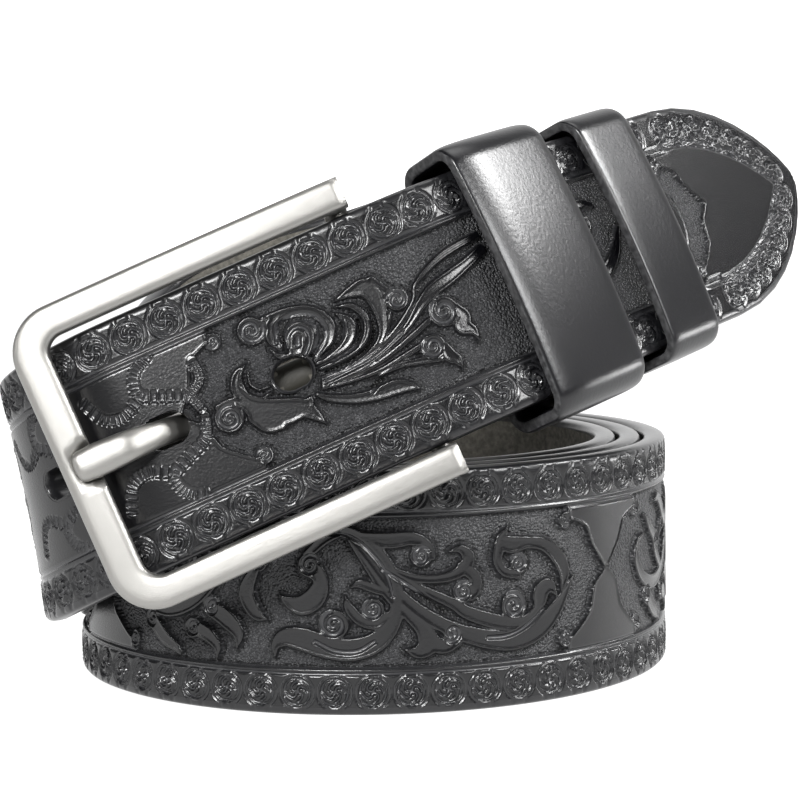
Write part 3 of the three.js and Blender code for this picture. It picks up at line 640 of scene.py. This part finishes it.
def tip_fields():
    """The stretch's fields. At the tip the border lines follow the outline."""
    p = STRETCH
    height, ground = finish_panel(p)
    x, v = p.x[:, None], np.abs(p.v)[None, :]
    share = np.clip((x - (TIP_REACH - TIP_TAPER)) / TIP_TAPER, 0, 1)
    outline = WIDTH / 2 * (1 - share ** 2) ** TIP_ROUND
    inset = (outline - v) * np.clip(1 - share * .35, .5, 1)
    inside = soft_step(inset, 7.2, 7.5)
    wanted, tip_ground = press_field(p, inside, moat=0, ridge=0)
    for at in (7.0, 6.1):
        wanted -= LINE_DEPTH * bell(inset, at, LINE_WIDE)
    wanted -= RIM_DEPTH * bell(inset, .9, RIM_WIDE)
    wanted += press_discs(p, 1 - inside)
    tip = soft_step(x, 89, 92)
    return ((height * (1 - tip) + wanted * tip).astype(np.float32),
            (ground * (1 - tip) + tip_ground * tip).astype(np.float32))


STRETCH_HEIGHT, STRETCH_GROUND = tip_fields()
COIL_HEIGHT, COIL_GROUND = finish_panel(COIL)
SEAM = MIDDLE + 68


def tooling(length, v):
    """Height and stipple at lengths from the tip and places across, as grids."""
    near = length < SEAM
    height = np.zeros((len(length), len(v)), np.float32)
    ground = np.zeros_like(height)
    along = MIDDLE - length[near]
    height[near] = sample(STRETCH_HEIGHT, STRETCH, along, v)
    ground[near] = sample(STRETCH_GROUND, STRETCH, along, v)
    wrapped = (FRONT - length[~near] - COIL_LOW) % PERIOD + COIL_LOW
    height[~near] = sample(COIL_HEIGHT, COIL, wrapped, v)
    ground[~near] = sample(COIL_GROUND, COIL, wrapped, v)
    return height, ground


# Materials
def material(name):
    m = bpy.data.materials.new(name)
    m.use_nodes = True
    tree = m.node_tree
    return m, tree, tree.nodes["Principled BSDF"]


def node(tree, kind, **values):
    n = tree.nodes.new(kind)
    for key, value in values.items():
        setattr(n, key, value)
    return n


def bump(tree, shader, source, strength, distance, after=None):
    b = node(tree, "ShaderNodeBump")
    b.inputs["Strength"].default_value = strength
    b.inputs["Distance"].default_value = distance
    tree.links.new(source, b.inputs["Height"])
    if after:
        tree.links.new(after.outputs["Normal"], b.inputs["Normal"])
    tree.links.new(b.outputs["Normal"], shader.inputs["Normal"])
    return b


def noise(tree, scale, detail, vector):
    n = node(tree, "ShaderNodeTexNoise")
    n.inputs["Scale"].default_value = scale
    n.inputs["Detail"].default_value = detail
    tree.links.new(vector, n.inputs["Vector"])
    return n.outputs["Fac"]


def color_ramp(tree, shader, source, stops):
    """Base colour by source: stops are positions and colours."""
    ramp = node(tree, "ShaderNodeValToRGB")
    elements = ramp.color_ramp.elements
    for element, (position, color) in zip(elements, (stops[0], stops[-1])):
        element.position = position
        element.color = (*color, 1)
    for position, color in stops[1:-1]:
        elements.new(position).color = (*color, 1)
    tree.links.new(source, ramp.inputs["Fac"])
    tree.links.new(ramp.outputs["Color"], shader.inputs["Base Color"])


def map_range(tree, source, target, **limits):
    n = node(tree, "ShaderNodeMapRange")
    for name, value in limits.items():
        n.inputs[name.replace("_", " ").title()].default_value = value
    tree.links.new(source, n.inputs["Value"])
    tree.links.new(n.outputs["Result"], target)


def tooled_leather():
    m, tree, shader = material("tooled_leather")
    lay = node(tree, "ShaderNodeAttribute", attribute_name="lay")
    stipple = node(tree, "ShaderNodeAttribute", attribute_name="stipple")
    depth = node(tree, "ShaderNodeAttribute", attribute_name="relief")
    cells = node(tree, "ShaderNodeTexVoronoi", feature="F1")
    cells.inputs["Scale"].default_value = 2.3
    tree.links.new(lay.outputs["Vector"], cells.inputs["Vector"])
    masked = node(tree, "ShaderNodeMath", operation="MULTIPLY")
    tree.links.new(cells.outputs["Distance"], masked.inputs[0])
    tree.links.new(stipple.outputs["Fac"], masked.inputs[1])
    first = bump(tree, shader, masked.outputs[0], 1.0, 0.0007)
    bump(tree, shader, noise(tree, 2.4, 6, lay.outputs["Vector"]), 0.12, 0.0003, first)
    # Painted shade: the grooves and the dips round the raised shapes go near black, standing in for the
    # shade in them; the stipple is paler and the raised shapes are black.
    color_ramp(tree, shader, depth.outputs["Fac"], [
        (0.0, (0.002, 0.002, 0.0022)), (0.28, (0.03, 0.0303, 0.0325)), (1.0, (0.0016, 0.0016, 0.0022))])
    map_range(tree, stipple.outputs["Fac"], shader.inputs["Roughness"], to_min=0.26, to_max=0.5)
    return m


def grained(name, color, roughness, scale, strength):
    """One colour with a fine grain."""
    m, tree, shader = material(name)
    shader.inputs["Base Color"].default_value = (*color, 1)
    shader.inputs["Roughness"].default_value = roughness
    coords = node(tree, "ShaderNodeTexCoord")
    bump(tree, shader, noise(tree, scale, 7, coords.outputs["Object"]), strength, 0.0003)
    return m


def fibrous(name, dark, light, roughness):
    """Cut edges and backs: short fibres in two tones."""
    m, tree, shader = material(name)
    coords = node(tree, "ShaderNodeTexCoord")
    fibres = noise(tree, 1100, 5, coords.outputs["Object"])
    color_ramp(tree, shader, fibres, [(0.35, dark), (0.7, light)])
    shader.inputs["Roughness"].default_value = roughness
    bump(tree, shader, fibres, 0.5, 0.0003)
    return m


def satin_nickel():
    """Nickel brushed along each bar, by its own length and section places."""
    m, tree, shader = material("satin_nickel")
    # Darker than real nickel, because the key light is strong for the leather's sake
    shader.inputs["Base Color"].default_value = (0.3, 0.294, 0.28, 1)
    shader.inputs["Metallic"].default_value = 1
    shader.inputs["Roughness"].default_value = 0.42
    lay = node(tree, "ShaderNodeAttribute", attribute_name="lay")
    mapping = node(tree, "ShaderNodeMapping")
    mapping.inputs["Scale"].default_value = (0.12, 9, 9)
    tree.links.new(lay.outputs["Vector"], mapping.inputs["Vector"])
    bump(tree, shader, noise(tree, 1.6, 4, mapping.outputs["Vector"]), 0.12, 0.0002)
    return m


LEATHER = tooled_leather()
EDGE = grained("strap_edge", (0.008, 0.008, 0.009), 0.28, 700, 0.12)
BACK = fibrous("suede_back", (0.045, 0.042, 0.035), (0.10, 0.094, 0.08), 0.95)
KEEPER = grained("keeper_leather", (0.003, 0.003, 0.004), 0.29, 1500, 0.11)
KEEPER_EDGE = fibrous("keeper_edge", (0.006, 0.006, 0.007), (0.05, 0.05, 0.052), 0.75)
NICKEL = satin_nickel()
# Painted shade: the prong's shank under the strap is dark brown, standing in for the shadow there
PAINTED_SHADE_SHANK = grained("prong_shank_painted_shade", (0.03, 0.028, 0.022), 0.6, 900, 0.3)


# Meshes
def add_piece(name, verts, faces, materials):
    """A smooth mesh object on the part's only body."""
    mesh = bpy.data.meshes.new(name)
    mesh.from_pydata(verts, [], faces)
    for m in materials:
        mesh.materials.append(m)
    mesh.polygons.foreach_set("use_smooth", np.ones(len(mesh.polygons), bool))
    obj = bpy.data.objects.new(name, mesh)
    bpy.context.scene.collection.objects.link(obj)
    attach(obj, "root")
    return obj


def grid_mesh(name, rows, joined, materials, index, attributes, gone=None, cap=(1, 1)):
    """A tube from rings of points (rows, ring, 3) in part millimetres.

    joined closes the rows into a hoop, index gives each ring step's material, gone marks faces
    left out and cap says which ends close.
    """
    count, ring = rows.shape[:2]
    verts = ((rows.reshape(-1, 3) + SHIFT) * MM).astype(np.float32)
    i = np.arange(count if joined else count - 1)[:, None]
    j = np.arange(ring)[None, :]
    corners = ((i, j), (i, j + 1), (i + 1, j + 1), (i + 1, j))
    faces = np.stack([(a % count) * ring + b % ring for a, b in corners], -1)
    keep = np.ones(faces.shape[:2], bool) if gone is None else ~gone
    slots = np.broadcast_to(index[None, :], keep.shape)[keep]
    ends = [] if joined else ([list(range(ring))[::-1]] * cap[0]
                              + [[(count - 1) * ring + k for k in range(ring)]] * cap[1])
    obj = add_piece(name, verts.tolist(), faces[keep].tolist() + ends, materials)
    mesh = obj.data
    # Closed ends take the second material, where there is one
    end_slots = np.full(len(ends), min(1, len(materials) - 1))
    mesh.polygons.foreach_set("material_index", np.concatenate([slots, end_slots]).astype(np.int32))
    for key, values in attributes.items():
        vector = values.shape[-1] == 3
        layer = mesh.attributes.new(key, "FLOAT_VECTOR" if vector else "FLOAT", "POINT")
        layer.data.foreach_set("vector" if vector else "value", values.reshape(-1).astype(np.float32))
    mesh.validate()
    return obj


def strap_section(name, start, stop, step, cross, back_columns=10):
    """A length of strap as a tube: tooled face, rolled edges and suede back."""
    length = np.arange(start, stop + step * .5, step) if stop < LENGTH else np.append(
        np.arange(start, LENGTH - step, step), LENGTH - .001)
    point, across, _, off, thick, half = route(length)
    roll, square = 1.3, 0.62
    full = WIDTH / 2
    columns = int(round(2 * (full - roll - .5) / cross))
    face_v = np.linspace(-1, 1, columns) * (full - roll)
    height, ground = tooling(length, face_v)
    # Near the tip the face narrows, and the tooling is read at its real places
    inner = np.maximum(half - roll, .05)[:, None]
    real_v = face_v[None, :] * inner / (full - roll)
    i = np.clip(((MIDDLE - length - STRETCH.low) / CELL).astype(int), 0, len(STRETCH.x) - 1)[:, None]
    j = np.clip(((real_v + full) / CELL).astype(int), 0, len(STRETCH.v) - 1)
    narrow = (half < full - .01)[:, None]
    height = np.where(narrow, STRETCH_HEIGHT[i, j], height)
    ground = np.where(narrow, STRETCH_GROUND[i, j], ground)
    edge_angles = np.linspace(90, -90, 9)[1:-1] * RAD
    out = np.cos(edge_angles)[None, :] ** square
    up = (np.sign(np.sin(edge_angles)) * np.abs(np.sin(edge_angles)) ** square)[None, :]
    edge_v = inner + np.minimum(roll, half * .6)[:, None] * out
    deep = thick[:, None] / 2
    edge_w = -deep + deep * up
    back = np.linspace(1, -1, back_columns)[None, :]
    v = np.concatenate([real_v, edge_v, inner * back, -edge_v[:, ::-1]], 1)
    w = np.concatenate([height * 2 * deep / THICK, edge_w, -2 * deep + 0 * back, edge_w[:, ::-1]], 1)
    rows = point[:, None] + across[:, None] * v[..., None] + off[:, None] * w[..., None]
    ring = v.shape[1]
    index = np.full(ring, 1)
    index[:columns - 1] = 0
    first_back = columns + len(edge_angles)
    index[first_back:first_back + back_columns - 1] = 2
    # relief sets the face's colour in tooled_leather, where its deep places are darkened as painted shade
    relief = np.ones_like(v)
    relief[:, :columns] = np.clip(1 + height / .85, 0, 1)
    stipple = np.zeros_like(v)
    stipple[:, :columns] = ground
    lay = np.stack([np.broadcast_to((MIDDLE - length)[:, None], v.shape), v, w * .2], -1)
    x_mid = MIDDLE - (length[:-1] + length[1:]) / 2
    v_mid = (v[:-1] + np.roll(v, -1, 1)[:-1]) / 2
    gone = np.zeros((len(length) - 1, ring), bool)
    for hole in HOLES:
        straight = (hole["length"] - hole["width"]) / 2
        dx = np.maximum(np.abs(x_mid - hole["x"]) - straight, 0)[:, None]
        gone |= (np.hypot(dx, v_mid) < hole["width"] / 2) & (index != 1)[None, :]
    # The ring is turned round, so that the faces point out
    obj = grid_mesh(name, rows[:, ::-1], False, [LEATHER, EDGE, BACK], np.roll(index[::-1], -1),
                    {"relief": relief[:, ::-1], "stipple": stipple[:, ::-1], "lay": lay[:, ::-1]},
                    np.roll(gone[:, ::-1], -1, 1), (int(start < 1), int(stop > LENGTH)))
    return obj


def hole_walls(name):
    """The punched walls of the holes, as short oval tubes."""
    sides = 32
    angles = np.linspace(0, 2 * math.pi, sides + 1)[:-1]
    verts, faces = [], []
    for hole in HOLES:
        straight = (hole["length"] - hole["width"]) / 2
        radius = hole["width"] / 2
        spots = MIDDLE - hole["x"] - np.sign(np.cos(angles)) * straight - radius * np.cos(angles)
        known, pick = np.unique(np.round(spots, 4), return_inverse=True)
        point, across, _, off = route(known)[:4]
        base = point[pick] + across[pick] * (radius * np.sin(angles))[:, None]
        centre = base.mean(0)
        # The face's rim is pressed in softly round the hole
        for w, grow in ((.02, 1.16), (-.35, 1.0), (-THICK / 2, .98), (-THICK, 1.0)):
            ring = centre + (base - centre) * grow + off[pick] * w
            verts += ((ring + SHIFT) * MM).tolist()
        first = len(verts) - 4 * sides
        for k in range(3 * sides):
            a = first + k
            b = first + k // sides * sides + (k + 1) % sides
            faces.append((a, b, b + sides, a + sides))
    add_piece(name, verts, faces, [EDGE])


fine = 1.0
FACE_STEP = .175 * fine
FACE_CROSS = .178 * fine
sections = [
    strap_section("strap_tip", .35, MIDDLE - 37, .28 * fine, .29 * fine, 16),
    strap_section("strap_stretch", MIDDLE - 37, MIDDLE + 35, FACE_STEP, FACE_CROSS, 20),
    strap_section("strap_bend", MIDDLE + 35, MIDDLE + 78, .26 * fine, .26 * fine, 14),
    strap_section("strap_left", MIDDLE + 78, FRONT - 78, .7 * fine, .6 * fine),
    strap_section("strap_front_right", FRONT - 78, FRONT, FACE_STEP, FACE_CROSS),
    strap_section("strap_front_left", FRONT, FRONT + 78, FACE_STEP, FACE_CROSS),
    strap_section("strap_outer_back", FRONT + 78, FRONT + 290, .8, .7),
    strap_section("strap_inner", FRONT + 290, LENGTH - 215, 1.4, 2),
    strap_section("strap_loop", LENGTH - 215, LENGTH + 1, .8, .7),
]
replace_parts(sections[0], "belt_strap")
hole_walls("strap_hole_walls")


def superellipse(count, power):
    """Places round a rounded square from -1 to 1. A smaller power is squarer."""
    angle = (np.arange(count) + .5) / count * 2 * math.pi
    c, s = np.cos(angle), np.sin(angle)
    return np.sign(c) * np.abs(c) ** power, np.sign(s) * np.abs(s) ** power


def keeper(name, node_name, size, layers, crown=1.0, round_mid=2.9):
    """A leather band round the strap's layers, with softly rounded cut edges."""
    thick = size["thick"]
    back, front, half = -layers - SEAT_GAP, size["rise"], size["half_height"] - thick
    grow = thick / 2
    outline = []
    for sv, sw, first in ((1, 1, 0), (-1, 1, 90), (-1, -1, 180), (1, -1, 270)):
        edge = front + grow if sw > 0 else back - grow
        for angle in np.linspace(first, first + 90, 13) * RAD:
            cos, sin = math.cos(angle), math.sin(angle)
            outline.append((sv * (half + grow - round_mid) + round_mid * cos,
                            edge - sw * round_mid + round_mid * sin, cos, sin))
    path = []
    for row, after in zip(np.array(outline), np.roll(outline, -1, 0)):
        cuts = max(1, int(math.hypot(*(after - row)[:2]) / 1.2))
        path += [row + (after - row) * c / cuts for c in range(cuts)]
    along, outward = superellipse(44, .34)
    middle = size["start"] + size["length"] / 2
    rows = []
    for v, w, nv, nw in path:
        lift = crown * max(0.0, 1 - (v / half) ** 2) if w > 0 else 0.0
        reach = grow * outward / math.hypot(nv, nw)
        rows.append([place(middle + s * size["length"] / 2, v + nv * r, w + lift + nw * r)
                     for s, r in zip(along, reach)])
    obj = grid_mesh(name, np.array(rows), True, [KEEPER, KEEPER_EDGE],
                    np.where(np.abs(along) > .985, 1, 0), {})
    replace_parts(obj, node_name)


LAYERS = 2 * THICK + LAYER_GAP
keeper("keeper_wide_band", "keeper_wide", WIDE_KEEPER, LAYERS + SEAT_GAP + FOLD_THICK)
keeper("keeper_narrow_band", "keeper_narrow", NARROW_KEEPER, LAYERS)


# Buckle
def flat(s, v, w):
    return ORIGIN + ALONG * s + ACROSS * v + OFF * w


def bow(s):
    middle = (FRAME_HEEL - FRAME_FRONT) / 2
    share = (s - middle) / ((FRAME_HEEL + FRAME_FRONT) / 2)
    return FRAME_BOW * (1 - share * share) - FRAME_DROP


def frame_rows():
    """Outer and inner edge of the frame, from the lower arm's end round to the upper arm's."""
    outer_half, inner_half = FRAME_HEIGHT / 2, FRAME_HEIGHT / 2 - FRAME_ARM
    inner_front = FRAME_FRONT - FRAME_BAR
    edges = []
    for share in np.linspace(0, 1, 34)[:-1]:
        edges.append(((FRAME_HEEL - (FRAME_HEEL + FRAME_FRONT - OUTER_ROUND) * share, -outer_half),
                      (FRAME_HEEL - (FRAME_HEEL + inner_front - INNER_ROUND) * share, -inner_half)))
    for angle in np.linspace(0, 90, 15):
        sin, cos = math.sin(angle * RAD), math.cos(angle * RAD)
        edges.append(((-FRAME_FRONT + OUTER_ROUND * (1 - sin), -outer_half + OUTER_ROUND * (1 - cos)),
                      (-inner_front + INNER_ROUND * (1 - sin), -inner_half + INNER_ROUND * (1 - cos))))
    outer_run, inner_run = outer_half - OUTER_ROUND, inner_half - INNER_ROUND
    straight = [((-FRAME_FRONT, v * outer_run), (-inner_front, v * inner_run))
                for v in np.linspace(-1, 1, 40)[1:-1]]
    mirror = [((o[0], -o[1]), (i[0], -i[1])) for o, i in edges[::-1]]
    return edges + straight + mirror


def metal(name, rows, lay, joined=False, look=None, cap=(1, 1)):
    """A nickel piece from rings of points, turned round so that its faces point out."""
    rows, lay = np.array(rows)[:, ::-1], np.array(lay)[:, ::-1]
    obj = grid_mesh(name, rows, joined, [look or NICKEL], np.zeros(rows.shape[1], int), {"lay": lay},
                    cap=cap)
    return obj


def buckle_frame():
    edges = np.array(frame_rows())
    middles, spans = edges.mean(1), (edges[:, 1] - edges[:, 0]) / 2
    runs = np.concatenate([[0], np.cumsum(np.linalg.norm(np.diff(middles, axis=0), axis=1))])
    a, b = superellipse(40, .5)
    notch_s, notch_radius, notch_depth = FRAME_BAR - FRAME_FRONT - .2, 3.4, 2.0
    rows, lay = [], []
    for mid, span, run in zip(middles, spans, runs):
        row = []
        for pa, pb in zip(a, b):
            s, v = mid + span * pa
            top = FRAME_THICK * (.5 + .5 * pb)
            # The notch for the prong's tip is pressed into the front bar's inner half
            into = notch_radius - math.hypot(max(0.0, notch_s - s), v)
            if into > 0 and pb > 0:
                top = min(top, FRAME_THICK - notch_depth * min(1, into / .7))
            row.append(flat(s, v, bow(s) + top))
        rows.append(row)
        lay.append([(run, pa * 3, pb * 3) for pa, pb in zip(a, b)])
    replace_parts(metal("buckle_frame_casting", rows, lay), "buckle_frame")


def heel_bar():
    inner_half = FRAME_HEIGHT / 2 - FRAME_ARM
    radius = BAR_DIAMETER / 2
    angles = np.linspace(0, 2 * math.pi, 25)[:-1]
    rows, lay = [], []
    for v in np.linspace(-inner_half - .6, inner_half + .6, 20):
        rows.append([flat(BAR_S + radius * math.cos(t), v, BAR_W + radius * math.sin(t))
                     for t in angles])
        lay.append([(v, math.cos(t) * 2, math.sin(t) * 2) for t in angles])
    metal("buckle_heel_bar", rows, lay)
    a, b = superellipse(28, .5)
    for side, name in ((1, "buckle_lug_upper"), (-1, "buckle_lug_lower")):
        rows = []
        for t in np.linspace(0, 1, 12):
            w = (BAR_W - radius) * (1 - t) + (bow(FRAME_HEEL) + FRAME_THICK / 2) * t
            wide = 1.2 + (FRAME_ARM - 1.1 - 1.2) * t
            v = inner_half + wide / 2 * (1 + b)
            rows.append([flat(FRAME_HEEL - 1.8 + 1.8 * pa, side * pv, w) for pa, pv in zip(a, v)])
        metal(name, rows, np.zeros((12, 28, 3)))


def prong():
    inner_front = FRAME_FRONT - FRAME_BAR
    hole = HOLES[USED_HOLE]["x"]
    rest = bow(-inner_front) + FRAME_THICK - 2.0 + SEAT_GAP + 1.5
    under = -THICK - LAYER_GAP - 1.5
    # Place along, place off the face and size, from the heel bar to the front bar
    path = [(BAR_S, BAR_W, 1), (BAR_S - 6, (BAR_W + under) / 2, 1), (hole + 9, under - .2, 1),
            (hole + 6, under - .1, 1), (hole + 3.3, under + .5, .94), (hole + 1.5, under + 1.9, .87),
            (hole - 1.5, 0, .87), (hole - 3.3, rest - 1.6, .95), (hole - 5.6, rest - .3, 1.02),
            (hole - 8, rest, 1.08), (-inner_front + .4, rest, 1.12), (-inner_front - 2.2, rest - .1, 1.05)]
    line = smooth_line(path, 8)
    end = line[-1].copy()
    tip = [end + [-1.15 * t, -.3 * t, end[2] * (max(.12, math.sqrt(1 - t * t)) - 1)]
           for t in (.35, .6, .8, .93, 1.0)]
    line = np.vstack([line, tip])
    steps = np.hypot(*np.diff(line[:, :2], axis=0).T)
    runs = np.concatenate([[0], np.cumsum(steps)])
    heading = np.gradient(line[:, :2], axis=0)
    heading /= np.linalg.norm(heading, axis=1)[:, None]
    a, b = superellipse(36, .8)
    rows, lay = [], []
    for (s, w, size), (hs, hw), run in zip(line, heading, runs):
        up = ALONG * -hw + OFF * hs
        centre = flat(s, 0, w)
        side, depth = ACROSS * 2.3 * size, up * 1.5 * min(size, 1)
        rows.append([centre + side * pa + depth * pb for pa, pb in zip(a, b)])
        lay.append([(run, pa * 2, pb * 2) for pa, pb in zip(a, b)])
    # The shank under the strap gets a dark, dull material as painted shade for the strap's shadow over it;
    # the part past the hole is bright nickel.
    split = int(np.argmax(line[:, 0] < hole + 4))
    metal("buckle_prong_shank", rows[:split + 1], lay[:split + 1], look=PAINTED_SHADE_SHANK, cap=(1, 0))
    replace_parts(metal("buckle_prong_bar", rows[split:], lay[split:], cap=(0, 1)), "buckle_prong")
    wide, thick = superellipse(20, .5)
    middle = BAR_DIAMETER / 2 + SEAT_GAP + .75
    rows = []
    for t in np.linspace(0, 2 * math.pi, 41)[:-1]:
        reach = middle + .75 * thick
        rows.append([flat(BAR_S + r * math.cos(t), 2.3 * v, BAR_W + r * math.sin(t))
                     for v, r in zip(wide, reach)])
    metal("buckle_prong_loop", rows, np.zeros((40, 20, 3)), joined=True)


buckle_frame()
heel_bar()
prong()

# Normals point out of every closed piece
for name in ("keeper_wide_band", "keeper_narrow_band", "buckle_frame_casting", "buckle_prong_bar",
             "buckle_prong_loop", "buckle_heel_bar", "buckle_lug_upper", "buckle_lug_lower"):
    mesh = bpy.data.objects[name].data
    bm = bmesh.new()
    bm.from_mesh(mesh)
    bmesh.ops.recalc_face_normals(bm, faces=bm.faces)
    bm.to_mesh(mesh)
    bm.free()


# Floor, light and camera
def stage_plane(name, corners, strength):
    """A plain pale plane that glows a little."""
    m, tree, shader = material(name)
    shader.inputs["Roughness"].default_value = 0.9
    shader.inputs["Emission Color"].default_value = (1, 1, 1, 1)
    shader.inputs["Emission Strength"].default_value = strength
    mesh = bpy.data.meshes.new(name)
    mesh.from_pydata(corners, [], [(0, 1, 2, 3)])
    mesh.materials.append(m)
    obj = bpy.data.objects.new(name, mesh)
    bpy.context.scene.collection.objects.link(obj)
    return obj, tree, shader


HALF, WALL_Y, WALL_LOW, WALL_TOP = 3, 2, -0.1, 2.5
floor, tree, shader = stage_plane(
    "studio_floor", [(-HALF, -HALF, 0), (HALF, -HALF, 0), (HALF, HALF, 0), (-HALF, HALF, 0)], 0)
# The floor in front of the belt falls off, so that smooth leather stays black
geometry = node(tree, "ShaderNodeNewGeometry")
parts = node(tree, "ShaderNodeSeparateXYZ")
tree.links.new(geometry.outputs["Position"], parts.inputs["Vector"])
for target, front, back in (("Emission Strength", 0.2, 0.85), ("Base Color", 0.22, 0.3)):
    map_range(tree, parts.outputs["Y"], shader.inputs[target], from_min=-0.5, from_max=-0.12,
              to_min=front, to_max=back)
wall, tree, shader = stage_plane(
    "studio_wall", [(-HALF, WALL_Y, WALL_LOW), (HALF, WALL_Y, WALL_LOW),
                    (HALF, WALL_Y, WALL_TOP), (-HALF, WALL_Y, WALL_TOP)], 0.97)
shader.inputs["Base Color"].default_value = (1, 1, 1, 1)

world = bpy.data.worlds.new("studio")
bpy.context.scene.world = world
world.use_nodes = True
world.node_tree.nodes["Background"].inputs["Color"].default_value = (1, 1, 1, 1)
world.node_tree.nodes["Background"].inputs["Strength"].default_value = 0.05


def area(name, at, target, size, power):
    light = bpy.data.lights.new(name, "AREA")
    light.shape = "RECTANGLE"
    light.size, light.size_y = size
    light.energy = power
    light.spread = 60 * RAD
    obj = bpy.data.objects.new(name, light)
    obj.location = Vector(at)
    obj.rotation_euler = (Vector(target) - Vector(at)).to_track_quat("-Z", "Y").to_euler()
    bpy.context.scene.collection.objects.link(obj)


area("key", (-0.3, -0.95, 0.55), (0, 0, 0.05), (0.35, 0.22), 2.0)
area("top", (0.1, 0.15, 0.9), (0, 0, 0.04), (0.9, 0.5), 0.5)
area("left", (-0.8, -0.3, 0.25), (0, 0, 0.05), (0.2, 0.5), 0.16)
area("right", (0.71, 0, 0.63), (0.03, 0, 0.08), (0.22, 0.2), 0.75)
area("front_right", (0.58, -0.49, 0.45), (0.02, 0, 0.08), (0.34, 0.2), 0.6)
area("low_right", (0.9, 0.2, 0.08), (0.02, 0, 0.03), (0.12, 0.16), 0.2)

# The camera found from the photo: focal length in its pixels, place in mm and turn in degrees
PHOTO_SIDE, FOCAL_PIXELS, SENSOR = 800, 2429, 36
CAMERA_AT, CAMERA_PITCH, CAMERA_ROLL = [6.0, -416.7, 83.6], -5.44, -0.82
camera_data = bpy.data.cameras.new("camera")
camera_data.sensor_width = SENSOR
camera_data.lens = SENSOR * FOCAL_PIXELS / PHOTO_SIDE
camera_data.clip_start = 0.01
camera = bpy.data.objects.new("camera", camera_data)
bpy.context.scene.collection.objects.link(camera)
bpy.context.scene.camera = camera
eye = (np.array(CAMERA_AT) + [SHIFT[0], SHIFT[1], 0]) * MM
camera.matrix_world = (Matrix.Translation(Vector(eye)) @ Matrix.Rotation((90 + CAMERA_PITCH) * RAD, 4, "X")
                       @ Matrix.Rotation(CAMERA_ROLL * RAD, 4, "Z"))

scene = bpy.context.scene
scene.view_settings.view_transform = "Standard"
scene.view_settings.look = "None"
